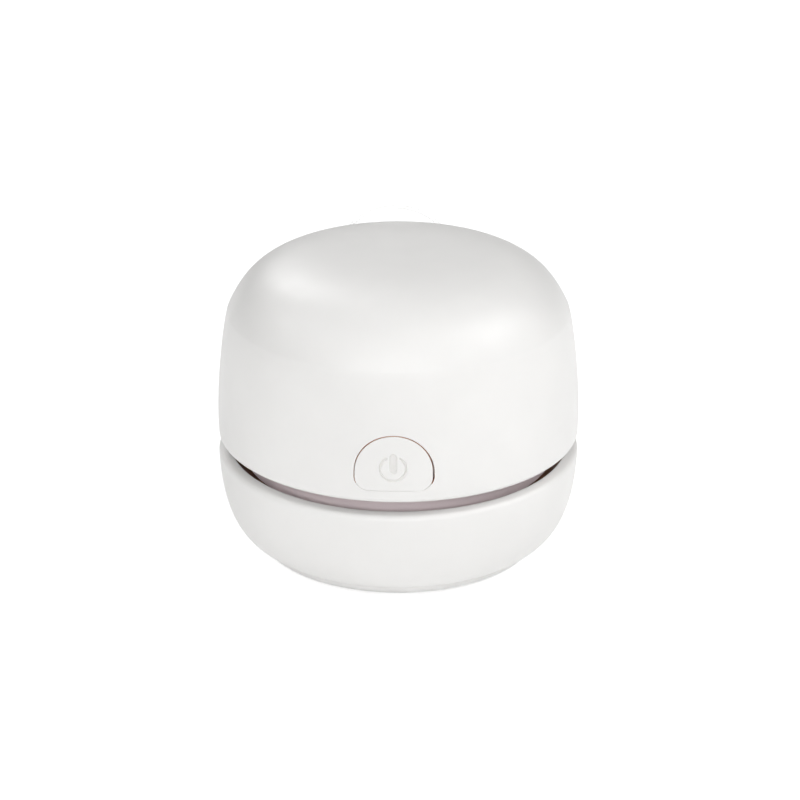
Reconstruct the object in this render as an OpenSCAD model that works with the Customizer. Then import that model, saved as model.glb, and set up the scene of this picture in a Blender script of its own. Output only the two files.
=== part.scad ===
// Desktop mini vacuum cleaner: a domed motor housing plugs into a shallow dust cup.
// Z is up from the table, the power button faces -Y and the charging socket faces +Y.
// Air and crumbs enter through the middle of the base, drop in the cup, pass the filter
// in the neck, and leave through the fan and the slot between the cup's lip and the dome.

/* [Outer form] */
// Diameter at the widest
body_d = 84; // [83:0.5:96]
// Height of the dust cup, from the base plate's edge to the lip
cup_h = 21.6; // [20.8:0.2:30]
// Height of the air slot between the lip and the dome's rim
slot_h = 3; // [2.2:0.1:4]
// Height of the dome, from its rim to its crown
dome_h = 43.2; // [42:0.2:56]
// Height of the dome's shoulder above its rim
shoulder_h = 30.25; // [26:0.25:32]
// How far the shoulder stands inside the widest radius
shoulder_inset = 2.8; // [1:0.1:4]
// How far the dome's side stands inside the widest radius at its rim
rim_inset = 0.1; // [0:0.05:0.6]
// Radius of the rim's outer edge
rim_edge_r = 1.2; // [0.6:0.1:1.6]
// Wall of the dome
shell_wall = 2.2; // [1.6:0.1:2.6]

/* [Dust cup] */
// Wall of the cup
cup_wall = 2.2; // [1.6:0.1:2.6]
// Width of the lip
lip_w = 2.8; // [2.4:0.1:4]
// Radius of the lip's outer edge
lip_edge_r = 1.3; // [0.8:0.1:1.8]
// Radius of the lip's inner edge
lip_in_edge_r = 0.3; // [0.2:0.1:0.5]
// Thickness of the cup's floor
floor_t = 1.8; // [1.2:0.1:2.4]
// Space under the floor, where the base plate sits
floor_rise = 2.2; // [2:0.1:3]
// Height of the inlet chimney above the floor
inlet_h = 2.4; // [1.6:0.2:2.6]
// Bore of the inlet chimney
inlet_d = 16; // [12:0.5:22]
// Wall of the inlet chimney
inlet_wall = 1.5; // [1:0.1:2.5]
// Number of ribs that carry the collar
cup_ribs = 12; // [6:1:18]
// Thickness of those ribs
cup_rib_t = 1.2; // [0.8:0.1:2]

/* [Collar and neck] */
// Depth of the trough between the lip and the collar
trough_h = 5.4; // [4.6:0.1:6]
// Thickness of the collar's flange
collar_t = 1.2; // [0.8:0.1:1.6]
// Wall of the collar's sleeve
collar_wall = 1.8; // [1.2:0.1:2.2]
// Thickness of the stop under the neck
stop_t = 0.8; // [0.6:0.1:1.2]
// How far the neck stands inside the widest radius
neck_inset = 9; // [8.6:0.1:10]
// Wall of the neck
neck_wall = 2; // [1.8:0.1:2.4]
// How deep the neck plugs into the collar
plug_h = 4.2; // [3.8:0.1:4.8]
// Section of the O-ring
o_ring_d = 1.3; // [1:0.1:1.5]
// Height of the neck's windows and the dome's skirt under the deck
skirt_h = 4.6; // [4:0.1:6]
// Number of exhaust windows
windows = 12; // [8:1:16]
// Width of the mullion between two windows
mullion_w = 4.6; // [3:0.2:6]

/* [Filter] */
// Height of the filter's frame
filter_h = 4.5; // [3.6:0.1:5]
// Width of the frame's rim
filter_rim_w = 2.4; // [1.6:0.1:3]
// Thickness of the foam gasket
gasket_t = 0.5; // [0.3:0.1:0.6]
// Pitch of the pleats
pleat_pitch = 4; // [3:0.5:6]
// Height of the pleats
pleat_h = 2.8; // [2:0.1:3]
// Thickness of the pleated paper
paper_t = 0.5; // [0.4:0.05:0.6]

/* [Fan] */
// Width of the ring of vanes between the impeller and the neck
fan_ring_w = 8; // [7:0.25:13]
// Height of the impeller
impeller_h = 5.8; // [4.5:0.1:6]
// Number of blades
blades = 9; // [5:1:12]
// Thickness of a blade
blade_t = 1; // [0.8:0.1:1.4]
// Diameter of the fan's eye
eye_d = 22; // [16:1:28]
// Thickness of the intake plate
intake_t = 1.4; // [1:0.1:1.6]
// Number of diffuser vanes
vanes = 9; // [6:1:12]

/* [Motor] */
// Diameter of the motor's can
motor_d = 23.8; // [20:0.2:25]
// Thickness of the motor across its flats
motor_flat = 18.5; // [17:0.1:20]
// Room between the motor and the crown
motor_room = 7.3; // [5:0.1:9]
// Diameter of the motor's shaft
shaft_d = 2; // [1.5:0.1:2.3]
// Thickness of the motor deck
deck_t = 2.2; // [1.8:0.1:3]

/* [Battery] */
// Diameter of the cell
cell_d = 14.2; // [10:0.1:15]
// Room for the contact and the holder's wall at each end of the cell
cell_end_room = 2.5; // [2.2:0.1:5]
// Wall of the battery holder
holder_wall = 1.2; // [0.8:0.1:1.6]

/* [Button and switch] */
// Width of the power button
button_w = 17.4; // [14:0.2:19]
// Height of the power button
button_h = 12.8; // [11:0.2:14]
// Height of the button's lower edge above the dome's rim
button_rise = 3.4; // [3:0.1:4.4]
// Radius of the button's lower corners
button_corner_r = 3; // [1:0.5:4]
// Thickness of the flange behind the shell
button_flange_t = 1.2; // [0.8:0.1:1.5]
// Length of the stem that presses the switch
stem_l = 1.8; // [1.4:0.1:2.4]
// Width of the push switch
switch_w = 6; // [5:0.5:7]
// Height of the switch's body above its board
switch_h = 3.5; // [3:0.1:4.5]
// How far the switch's plunger stands out
plunger_l = 1.5; // [1.2:0.1:2]
// Width of the control board
board_w = 28; // [22:1:32]
// Height of the control board
board_h = 16; // [12:1:20]
// Thickness of the boards
board_t = 1.6; // [1:0.2:1.8]

/* [Charging socket] */
// Width of the socket
usb_w = 8.9; // [7:0.1:9.5]
// Height of the socket
usb_h = 3.2; // [2.6:0.1:3.6]
// Length of the socket
usb_l = 7.4; // [6.4:0.1:8]

/* [Hang loop] */
// Radius of the loop's arc
loop_r = 14.4; // [13:0.2:16]
// Thickness of the loop
loop_d = 0.9; // [0.7:0.1:1.4]
// Height of the loop's top above the crown
loop_rise = 0.2; // [-1:0.1:3]
// How far the loop stands inside the widest radius
loop_inset = 9; // [8:0.5:11]
// Sideways place of the loop
loop_x = -1.4; // [-3:0.2:3]

/* [Base] */
// How far the base plate stands inside the widest radius
base_inset = 8.7; // [7:0.1:10]
// Height of the base plate's edge
base_h = 2.4; // [2:0.1:3]
// Thickness of the base plate
plate_t = 1.6; // [1.2:0.1:1.8]
// Height of the glide feet below the base plate
foot_h = 0.8; // [0.4:0.1:2]
// Diameter of a glide foot
foot_d = 5; // [3:0.5:5.4]
// How far the brush ring stands inside the base plate's edge
brush_inset = 11; // [10.4:0.1:12]
// Width of the brush ring
brush_w = 2.8; // [2.4:0.1:3.2]
// Bristles in a row
bristles = 120; // [60:4:130]
// Rows of bristles
bristle_rows = 3; // [2:1:3]
// Thickness of a bristle
bristle_t = 0.4; // [0.3:0.05:0.5]
// Height of the bristle tips above the table
bristle_gap = 0.3; // [0.1:0.1:0.6]

/* [Screws] */
// Diameter of the housing screws
screw_d = 2.2; // [1.8:0.1:2.4]
// Diameter of their heads
screw_head_d = 4; // [3.4:0.1:4.4]
// Length of the housing screws
screw_l = 8; // [6:0.5:10]

/* [Clearances] */
// Gap round the power button
button_gap = 0.3; // [0.2:0.05:0.5]
// Gap between the neck and the collar's bore
neck_gap = 0.2; // [0.1:0.05:0.3]
// Gap round the filter
filter_gap = 0.25; // [0.15:0.05:0.4]
// Gap of parts that seat in each other
seat_gap = 0.15; // [0.05:0.05:0.25]
// Gap between a shaft and its bush, at the radius
shaft_gap = 0.03; // [0.01:0.01:0.1]
// Gap between the deck and the dome
deck_gap = 0.3; // [0.2:0.05:0.6]
// Gap between the impeller and its neighbours
fan_gap = 1.1; // [0.8:0.1:1.2]

/* [Hidden] */
$fn = 96;

// Levels above the table, from the feet up
body_r = body_d / 2;
z_base = foot_h;
z_split = z_base + base_h;
z_lip = z_split + cup_h;
z_rim = z_lip + slot_h;
z_shoulder = z_rim + shoulder_h;
z_crown = z_rim + dome_h;
z_floor = z_split + floor_rise + floor_t;
z_inlet = z_floor + inlet_h;
z_collar = z_lip - trough_h;
z_seat = z_collar - plug_h;
z_filter = z_seat + filter_h;
z_gasket = z_filter + gasket_t;
z_deck = z_rim + skirt_h;
z_deck_top = z_deck + deck_t;
z_fan_top = z_deck - fan_gap;
z_fan = z_fan_top - impeller_h;
z_intake_top = z_fan - fan_gap;
z_intake = z_intake_top - intake_t;

// Radii
neck_r = body_r - neck_inset;
neck_in_r = neck_r - neck_wall;
collar_r = neck_r + neck_gap;
lip_in_r = body_r - lip_w;
base_r = body_r - base_inset;
inlet_r = inlet_d / 2;
chimney_r = inlet_r + inlet_wall;
filter_r = neck_in_r - filter_gap;
filter_in_r = filter_r - filter_rim_w;
impeller_r = neck_in_r - fan_ring_w;
eye_r = eye_d / 2;
can_r = motor_d / 2;
shaft_r = shaft_d / 2;

// The dome's curves: the side from rim to shoulder, then the crown to the axis
shoulder_lean = 24.8;
side_bulge = 0.5;
side_reach = 9.8;
shoulder_reach = 2.3;
shoulder = [body_r - shoulder_inset, z_shoulder];
side_steps = 12;
widest_step = 2;
z_side = z_rim + rim_edge_r;
side_curve = [
    [body_r - rim_inset, z_side],
    [body_r + side_bulge, z_side + side_reach],
    shoulder + shoulder_reach * [sin(shoulder_lean), -cos(shoulder_lean)],
    shoulder
];
crown_steps = 16;
crown_reach = 0.955 * (z_crown - z_shoulder);
crown_curve = [
    shoulder,
    shoulder + crown_reach * [-tan(shoulder_lean), 1],
    [0.655 * shoulder[0], z_crown],
    [0, z_crown]
];
// The cup's curve, from the base's edge to the lip
cup_steps = 16;
cup_foot_r = base_r + 0.4;
foot_reach = [6.3, 1.4];
lip_reach = [-0.3, -9.6];
cup_curve = [
    [cup_foot_r, z_split],
    [cup_foot_r, z_split] + foot_reach,
    [body_r, z_lip] + lip_reach,
    [body_r, z_lip - lip_edge_r]
];

function bezier(p, t) =
    pow(1 - t, 3) * p[0] + 3 * pow(1 - t, 2) * t * p[1]
    + 3 * (1 - t) * pow(t, 2) * p[2] + pow(t, 3) * p[3];
function bezier_slope(p, t) =
    pow(1 - t, 2) * (p[1] - p[0]) + 2 * (1 - t) * t * (p[2] - p[1]) + pow(t, 2) * (p[3] - p[2]);
// A curve's points, moved square to the curve by inset towards the inside
function inset_curve(p, inset, steps, first = 0) = [
    for (i = [first:steps])
        let (t = i / steps, slope = bezier_slope(p, t))
            bezier(p, t) - inset * [slope[1], -slope[0]] / norm(slope)
];
function arc(centre, r, from, to, steps = 6) = [
    for (i = [0:steps])
        let (a = from + (to - from) * i / steps)
            centre + r * [cos(a), sin(a)]
];
function reversed(list) = [for (i = [len(list) - 1:-1:0]) list[i]];

// The dome's outside, and the line that lies inset inside it with an upright skirt
dome_line = concat(
    arc([body_r - rim_inset - rim_edge_r, z_side], rim_edge_r, -90, -15, 5),
    inset_curve(side_curve, 0, side_steps),
    inset_curve(crown_curve, 0, crown_steps, 1)
);
function dome_wall_line(inset) =
    let (side = inset_curve(side_curve, inset, side_steps, widest_step))
        concat([[side[0][0], z_rim]], side, inset_curve(crown_curve, inset, crown_steps, 1));
function dome_r(z) = lookup(z, [for (p = dome_line) [p[1], p[0]]]);
function dome_in_r(z) = dome_r(z) - shell_wall;

// Motor, deck and boards
deck_r = dome_in_r(z_deck) - deck_gap;
motor_boss_r = 3;
motor_boss_h = 1.4;
can_t = 0.8;
bell_t = 2.4;
z_motor_top = z_crown - shell_wall - motor_room;
motor_l = z_motor_top - z_deck_top;
bell_lip = 1.5;
motor_screw_x = 8;
magnet_t = 2;
air_gap = 0.5;
armature_r = min(can_r - magnet_t, motor_flat / 2) - can_t - air_gap;
armature_front = 6;
armature_back = 6;
armature_l = motor_l - bell_t - armature_front - armature_back;
z_armature = z_deck_top + armature_front;
magnet_over = 1;
armature_hub_r = 3;
pole_t = 1.5;
pole_w = 2;
coil_w = 5.2;
coil_over = 1;
coil_gap = 0.05;
coil_out_x = sqrt(pow(armature_r - pole_t - coil_gap, 2) - pow(coil_w / 2, 2));
commutator_r = 2.4;
terminal_w = 2;
terminal_t = 0.5;
terminal_h = 3.2;
bush_wall = 1;
bush_r = shaft_r + bush_wall;
bush_out = 0.6;
motor_ring_wall = 1.2;
motor_ring_h = 4;
screw_r = screw_d / 2;
head_r = screw_head_d / 2;
pilot_gap = 0.02;
shell_boss_r = 2.6;
shell_boss_h = 13;
shell_boss_ring_r = (neck_r + body_r - shell_wall) / 2;
shell_boss_angles = [20, 160, 200, 340];
boss_web_t = 1.2;
neck_boss_r = 2.4;
neck_boss_ring_r = neck_in_r - neck_boss_r / 2;
neck_boss_angles = [30, 150, 270];
base_screw_angles = [0, 90, 180, 270];
small_screw_d = 1.7;

// Button and switch, from the front of the dome backwards
z_button = z_rim + button_rise;
z_switch = z_button + 7.2;
flange_over = 1;
flange_front = shell_wall + button_gap;
flange_back = flange_front + button_flange_t;
stem_r = 2;
flange_back_r = dome_r(z_switch) - flange_back;
stem_y = -flange_back_r;
button_end_y = -sqrt(pow(flange_back_r, 2) - pow(button_w / 2 + flange_over, 2));
button_room = 0.4;
plunger_y = stem_y + stem_l + 0.05;
switch_y = plunger_y + plunger_l;
board_y = switch_y + switch_h;
plunger_r = 1.7;
button_travel = 0.8;
guide_w = 2.4;
guide_h = 9;

// Battery
holder_y = motor_flat / 2 + seat_gap + motor_ring_wall + 0.6;
cell_r = cell_d / 2;
cell_y = holder_y + holder_wall + seat_gap + cell_r;
cell_z = z_deck_top + holder_wall + seat_gap + cell_r;
holder_r = dome_in_r(z_deck_top + cell_d) - deck_gap;
cell_l = 2 * (sqrt(pow(holder_r, 2) - pow(cell_y + cell_r, 2)) - cell_end_room);
cell_cap_r = 2.8;
cell_cap_h = 1;
contact_t = 0.4;
holder_in_x = cell_l / 2 + seat_gap + contact_t;

// What stands on the back of the control board
chip_w = 6;
chip_h = 5;
chip_t = 1.4;
chip_x = -9;
chip_rise = 4;
driver_w = 4;
driver_h = 3;
driver_t = 1.2;
driver_x = 2;
driver_rise = 9;
capacitor_d = 4;
capacitor_l = 2.6;
capacitor_x = 8;
capacitor_rise = 5;
resistors = 6;
resistor_w = 1;
resistor_t = 0.6;
resistor_pitch = 2;
resistor_x = -4;
resistor_rise = 2;

// Charging board and socket
board_screw_head_h = 0.9;
board_screw_bite = 1.2;
standoff_h = 0.8;
charge_z = z_deck_top + standoff_h;
charge_top = charge_z + board_t;
usb_z = charge_top + usb_h / 2;
usb_recess = 0.4;
usb_y = dome_r(usb_z) - usb_recess;
charge_w = 18;
charge_y = cell_y + cell_r + seat_gap + holder_wall + 0.6;
charge_end_y = sqrt(pow(dome_in_r(charge_z) - 0.5, 2) - pow(charge_w / 2, 2));
charge_screw_x = 6.6;
charge_screw_y = charge_y + 2.2;

// Brush ring and base
brush_r = base_r - brush_inset;
channel_wall = 1;
channel_in_r = brush_r - brush_w / 2 - 0.1;
channel_out_r = brush_r + brush_w / 2 + 0.1;
z_channel = z_split + floor_rise - 0.3;
backing_t = 1.4;
z_backing = z_channel - channel_wall;
spigot_r = cup_foot_r - 2.4 - seat_gap;
base_ring_r = (channel_out_r + channel_wall + spigot_r - 1.2) / 2;
foot_recess = 0.4;

// Hang loop
loop_y = body_r - loop_inset;
z_loop = z_crown + loop_rise - loop_d / 2 - loop_r;
loop_drop = 4.1;
loop_leg = z_loop - z_shoulder + loop_drop;
loop_bead_d = 2 * loop_d;
loop_bead_h = 0.8;

// A ring with a rectangular section
module ring(in_r, out_r, low, high) {
    rotate_extrude()
        translate([in_r, low])
            square([out_r - in_r, high - low]);
}

// The space inside the dome, drawn in by inset
module dome_inside(inset) {
    rotate_extrude()
        polygon(concat([[0, z_rim]], dome_wall_line(inset)));
}

module dome_outside() {
    rotate_extrude()
        polygon(concat([[0, z_rim]], dome_line));
}

// Copies its children at each angle, on a circle
module around(angles, r) {
    for (a = angles)
        rotate([0, 0, a])
            translate([r, 0, 0])
                children();
}

// A countersunk screw that points up, with its head's face at the origin
module screw(d, head_d, length) {
    head_h = (head_d - d) / 2;
    slot_w = head_d / 6;
    difference() {
        union() {
            cylinder(d1 = head_d, d2 = d, h = head_h);
            cylinder(d = d, h = length);
        }
        for (a = [0, 90])
            rotate([0, 0, a])
                translate([-head_d / 3, -slot_w / 2, -head_h])
                    cube([head_d / 1.5, slot_w, head_h * 1.6]);
    }
}

// The hole that a screw passes, with its countersink, and the blind hole that it bites in
module screw_hole(d, head_d, depth) {
    gap = 0.15;
    head_h = (head_d - d) / 2;
    translate([0, 0, -0.5])
        cylinder(d = head_d + 2 * gap, h = 0.5);
    cylinder(d1 = head_d + 2 * gap, d2 = d + 2 * gap, h = head_h);
    cylinder(d = d + 2 * gap, h = depth);
}

module pilot_hole(d, depth) {
    cylinder(r = d / 2 + pilot_gap, h = depth);
}

// The button's outline: round above, straight below with round corners, grown by g
module button_outline(g) {
    r = button_w / 2 + g;
    c = button_corner_r + g;
    straight_h = button_h - button_w / 2;
    translate([0, straight_h])
        intersection() {
            circle(r);
            translate([-r, 0])
                square([2 * r, r]);
        }
    translate([-r, c - g])
        square([2 * r, straight_h - c + g]);
    translate([-r + c, -g])
        square([2 * (r - c), straight_h + g]);
    for (x = [-1, 1])
        translate([x * (r - c), c - g])
            circle(c);
}

module button_prism(g) {
    translate([0, -neck_r, z_button])
        rotate([90, 0, 0])
            linear_extrude(body_r)
                button_outline(g);
}

// A flat-sided can section, as small motors have
module motor_section(r, flat) {
    intersection() {
        circle(r);
        translate([-r, -flat / 2])
            square([2 * r, flat]);
    }
}

// A round-ended slot along X, cut along Y
module slot(w, h, from, to) {
    translate([0, to, 0])
        rotate([90, 0, 0])
            linear_extrude(to - from) {
                square([w - h, h], center = true);
                for (x = [-1, 1])
                    translate([x * (w - h) / 2, 0])
                        circle(d = h);
            }
}

// The loop's round bar: half a ring on two straight legs
module loop_bar(d) {
    translate([loop_x, loop_y, z_loop]) {
        rotate([90, 0, 0])
            rotate_extrude(angle = 180)
                translate([loop_r, 0])
                    circle(d = d);
        for (x = [-1, 1])
            translate([x * loop_r, 0, -loop_leg])
                cylinder(d = d, h = loop_leg);
    }
}

module shell_bosses() {
    intersection() {
        around(shell_boss_angles, shell_boss_ring_r) {
            translate([0, 0, z_deck_top])
                cylinder(r = shell_boss_r, h = shell_boss_h);
            translate([0, -boss_web_t / 2, z_deck_top])
                cube([2 * shell_boss_r, boss_web_t, shell_boss_h]);
        }
        dome_inside(shell_wall / 2);
    }
}

module top_shell() {
    color("#ecebe8")
        difference() {
            union() {
                rotate_extrude()
                    polygon(concat(dome_line, reversed(dome_wall_line(shell_wall))));
                shell_bosses();
            }
            button_prism(button_gap);
            translate([0, 0, usb_z])
                slot(usb_w + 2 * button_gap, usb_h + 2 * button_gap, neck_r, body_r + 1);
            loop_bar(loop_d + 2 * seat_gap);
            around(shell_boss_angles, shell_boss_ring_r)
                translate([0, 0, z_deck_top - 0.5])
                    pilot_hole(screw_d, screw_l - deck_t + 1);
        }
}

// The loop goes down through the shell, and its legs end in beads inside
module hang_loop() {
    color("#f2f1ee") {
        loop_bar(loop_d);
        for (x = [-1, 1])
            translate([loop_x + x * loop_r, loop_y, z_loop - loop_leg - loop_bead_h])
                cylinder(d = loop_bead_d, h = loop_bead_h);
    }
}

module power_button() {
    color("#ecebe8") {
        difference() {
            intersection() {
                button_prism(0);
                dome_outside();
            }
            dome_inside(flange_back);
        }
        difference() {
            intersection() {
                button_prism(flange_over);
                dome_inside(flange_front);
            }
            dome_inside(flange_back);
        }
        translate([0, stem_y + stem_l, z_switch])
            rotate([90, 0, 0])
                cylinder(r = stem_r, h = stem_l + 0.6);
    }
}

module switch_plunger() {
    color("#33363a")
        translate([0, switch_y + plunger_l, z_switch])
            rotate([90, 0, 0])
                cylinder(r = plunger_r, h = 2 * plunger_l);
}

module push_switch() {
    color("#3c3f44")
        difference() {
            translate([-switch_w / 2, switch_y, z_switch - switch_w / 2])
                cube([switch_w, switch_h, switch_w]);
            translate([0, switch_y + plunger_l + button_travel + 0.2, z_switch])
                rotate([90, 0, 0])
                    cylinder(r = plunger_r + 0.1, h = 2 * plunger_l + button_travel);
        }
}

module control_board() {
    color("#2f6b46")
        translate([-board_w / 2, board_y, z_deck_top])
            cube([board_w, board_t, board_h]);
}

module board_components() {
    color("#26282b")
        translate([0, board_y + board_t, z_deck_top]) {
            translate([chip_x, 0, chip_rise])
                cube([chip_w, chip_t, chip_h]);
            translate([driver_x, 0, driver_rise])
                cube([driver_w, driver_t, driver_h]);
            translate([capacitor_x, capacitor_l, capacitor_rise])
                rotate([90, 0, 0])
                    cylinder(d = capacitor_d, h = capacitor_l);
            for (i = [0:resistors - 1])
                translate([resistor_x + i * resistor_pitch, 0, resistor_rise])
                    cube([resistor_w, resistor_t, resistor_t]);
        }
}

module charge_board() {
    color("#2f6b46")
        difference() {
            translate([-charge_w / 2, charge_y, charge_z])
                cube([charge_w, charge_end_y - charge_y, board_t]);
            for (x = [-1, 1])
                translate([x * charge_screw_x, charge_screw_y, charge_z - 0.5])
                    cylinder(d = small_screw_d + 2 * seat_gap, h = board_t + 1);
        }
}

module board_screws() {
    bite = board_t + standoff_h + board_screw_bite;
    color("#9a9ca0")
        for (x = [-1, 1])
            translate([x * charge_screw_x, charge_screw_y, charge_top]) {
                cylinder(d = 1.9 * small_screw_d, h = board_screw_head_h);
                translate([0, 0, -bite])
                    cylinder(d = small_screw_d, h = bite + board_screw_head_h / 2);
            }
}

module usb_socket() {
    wall = 0.35;
    color("#b9bcc0")
        difference() {
            translate([0, 0, usb_z])
                slot(usb_w, usb_h, usb_y - usb_l, usb_y);
            difference() {
                translate([0, 0, usb_z])
                    slot(usb_w - 2 * wall, usb_h - 2 * wall, usb_y - usb_l + 1, usb_y + 0.5);
                translate([0, 0, usb_z])
                    slot(usb_w - 2.2, 0.7, usb_y - usb_l, usb_y - 1.2);
            }
        }
}

module battery_cell() {
    color("#3f7fb0")
        translate([-cell_l / 2, cell_y, cell_z])
            rotate([0, 90, 0]) {
                cylinder(r = cell_r, h = cell_l - cell_cap_h);
                cylinder(r = cell_cap_r, h = cell_l);
            }
}

module battery_contacts() {
    contact_w = 8;
    color("#c9c7bd")
        for (side = [0, 1])
            mirror([side, 0, 0])
                translate([holder_in_x - contact_t, cell_y - contact_w / 2, z_deck_top + holder_wall])
                    cube([contact_t, contact_w, cell_d]);
}

module battery_holder() {
    depth = 2 * (cell_y - holder_y);
    color("#d9d7d2")
        intersection() {
            difference() {
                translate([-holder_in_x - holder_wall, holder_y, z_deck_top])
                    cube([2 * (holder_in_x + holder_wall), depth, cell_d]);
                translate([-holder_in_x, holder_y + holder_wall, z_deck_top + holder_wall])
                    cube([2 * holder_in_x, depth - 2 * holder_wall, cell_d]);
                // The long walls stand only a third as high, so that the cell clips in
                translate([-holder_in_x + 3, holder_y - 1, z_deck_top + cell_d / 3])
                    cube([2 * (holder_in_x - 3), depth + 2, cell_d]);
            }
            translate([0, 0, z_deck_top - 1])
                cylinder(r = holder_r, h = cell_d + 2);
        }
}

module board_guides() {
    for (side = [0, 1])
        mirror([side, 0, 0])
            difference() {
                translate([board_w / 2 - 1.2, board_y - guide_w / 2, z_deck])
                    cube([guide_w, board_t + guide_w, deck_t + guide_h]);
                translate([board_w / 2 - 1.3, board_y - seat_gap, z_deck_top])
                    cube([1.3 + seat_gap, board_t + 2 * seat_gap, guide_h + 1]);
            }
}

module motor_deck() {
    cut_w = button_w + 2 * flange_over + 2;
    color("#d9d7d2")
        difference() {
            union() {
                translate([0, 0, z_deck])
                    cylinder(r = deck_r, h = deck_t);
                translate([0, 0, z_deck_top - 0.1])
                    linear_extrude(motor_ring_h + 0.1)
                        motor_section(
                            can_r + seat_gap + motor_ring_wall,
                            motor_flat + 2 * (seat_gap + motor_ring_wall)
                        );
                board_guides();
                for (x = [-1, 1])
                    translate([x * charge_screw_x, charge_screw_y, z_deck_top - 0.1])
                        cylinder(d = 2.4 * small_screw_d, h = standoff_h + 0.1);
            }
            translate([0, 0, z_deck_top])
                linear_extrude(motor_ring_h + 1)
                    motor_section(can_r + seat_gap, motor_flat + 2 * seat_gap);
            translate([0, 0, z_deck - 1])
                cylinder(r = motor_boss_r + seat_gap, h = deck_t + 2);
            for (x = [-1, 1])
                translate([x * motor_screw_x, 0, z_deck])
                    screw_hole(small_screw_d, 2 * small_screw_d, deck_t + 1);
            // Room for the back of the button, through its whole travel
            translate([-cut_w / 2, -body_r, z_deck - 1])
                cube([cut_w, body_r + button_end_y + button_travel + button_room, deck_t + 2]);
            around(shell_boss_angles, shell_boss_ring_r)
                translate([0, 0, z_deck])
                    screw_hole(screw_d, screw_head_d, deck_t + 1);
            around(neck_boss_angles, neck_boss_ring_r)
                translate([0, 0, z_deck_top])
                    mirror([0, 0, 1])
                        screw_hole(screw_d, screw_head_d, deck_t + 1);
            for (x = [-1, 1])
                translate([x * charge_screw_x, charge_screw_y, z_deck_top - board_screw_bite - 0.1])
                    pilot_hole(small_screw_d, board_screw_bite + standoff_h + 0.2);
        }
}

// One curved vane or blade between two radii: part of a circle whose centre is off the axis
module vane(in_r, out_r, centre_r, bend_r, t) {
    intersection() {
        translate([centre_r, 0])
            difference() {
                circle(bend_r + t / 2);
                circle(bend_r - t / 2);
            }
        difference() {
            circle(out_r);
            circle(in_r);
        }
        translate([0, 0.01])
            square([out_r + 1, out_r + 1]);
    }
}

module grille() {
    spoke_w = 1.1;
    for (r = [eye_r / 3, 2 * eye_r / 3])
        ring(r - 0.5, r + 0.5, z_intake, z_intake_top);
    for (a = [0:60:120])
        rotate([0, 0, a])
            translate([-eye_r - 0.5, -spoke_w / 2, z_intake])
                cube([2 * eye_r + 1, spoke_w, intake_t]);
}

module neck_housing() {
    window_h = skirt_h - 0.8;
    pitch = 360 / windows;
    window_w = 2 * neck_r * sin(pitch / 2) - mullion_w;
    groove_z = z_seat + plug_h / 2;
    groove_h = o_ring_d + neck_gap;
    color("#b5abb0")
        difference() {
            union() {
                ring(neck_in_r, neck_r, z_seat, z_deck);
                ring(eye_r, neck_in_r + 0.5, z_intake, z_intake_top);
                ring(filter_in_r - 0.6, neck_in_r + 0.5, z_gasket, z_intake + 0.2);
                grille();
                around(neck_boss_angles, neck_boss_ring_r)
                    translate([0, 0, z_intake])
                        cylinder(r = neck_boss_r, h = z_deck - z_intake);
                translate([0, 0, z_intake])
                    linear_extrude(intake_t + impeller_h)
                        for (i = [0:vanes - 1])
                            rotate([0, 0, i * 360 / vanes])
                                vane(
                                    impeller_r + 1.2, neck_in_r + 0.2,
                                    impeller_r / 2, 0.85 * neck_r, blade_t
                                );
            }
            for (i = [0:windows - 1])
                rotate([0, 0, (i + 0.5) * pitch])
                    translate([neck_in_r - 1, -window_w / 2, z_deck - window_h])
                        cube([neck_wall + 3, window_w, window_h + 1]);
            ring(neck_r - o_ring_d, neck_r + 1, groove_z - groove_h / 2, groove_z + groove_h / 2);
            around(neck_boss_angles, neck_boss_ring_r)
                translate([0, 0, z_deck - screw_l + 1])
                    pilot_hole(screw_d, screw_l);
        }
}

module neck_o_ring() {
    color("#3a3634")
        translate([0, 0, z_seat + plug_h / 2])
            rotate_extrude()
                translate([neck_r + neck_gap / 2 - o_ring_d / 2, 0])
                    circle(d = o_ring_d);
}

module neck_screws() {
    color("#9a9ca0")
        around(neck_boss_angles, neck_boss_ring_r)
            translate([0, 0, z_deck_top])
                mirror([0, 0, 1])
                    screw(screw_d, screw_head_d, screw_l);
}

module shell_screws() {
    color("#9a9ca0")
        around(shell_boss_angles, shell_boss_ring_r)
            translate([0, 0, z_deck])
                screw(screw_d, screw_head_d, screw_l);
}

module motor_can() {
    color("#b7bac0")
        difference() {
            union() {
                translate([0, 0, z_deck_top])
                    linear_extrude(motor_l - bell_t)
                        motor_section(can_r, motor_flat);
                translate([0, 0, z_deck_top - motor_boss_h])
                    cylinder(r = motor_boss_r, h = motor_boss_h + 0.5);
            }
            translate([0, 0, z_deck_top + can_t])
                linear_extrude(motor_l)
                    motor_section(can_r - can_t, motor_flat - 2 * can_t);
            translate([0, 0, z_deck_top - motor_boss_h - 1])
                cylinder(r = bush_r, h = motor_boss_h + 3);
            for (x = [-1, 1])
                translate([x * motor_screw_x, 0, z_deck_top - 0.5])
                    pilot_hole(small_screw_d, can_t + 1);
        }
}

module motor_magnets() {
    out_r = can_r - can_t - 0.05;
    color("#4a4a4d")
        intersection() {
            ring(
                out_r - magnet_t, out_r,
                z_armature - magnet_over, z_armature + armature_l + magnet_over
            );
            translate([-can_r, -motor_flat / 3, z_deck_top])
                cube([motor_d, motor_flat / 1.5, motor_l]);
        }
}

module motor_bushes() {
    color("#b08d4a") {
        ring(shaft_r + shaft_gap, bush_r, z_deck_top - motor_boss_h, z_deck_top + can_t);
        ring(shaft_r + shaft_gap, bush_r, z_motor_top - bell_t, z_motor_top + bush_out);
    }
}

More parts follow.
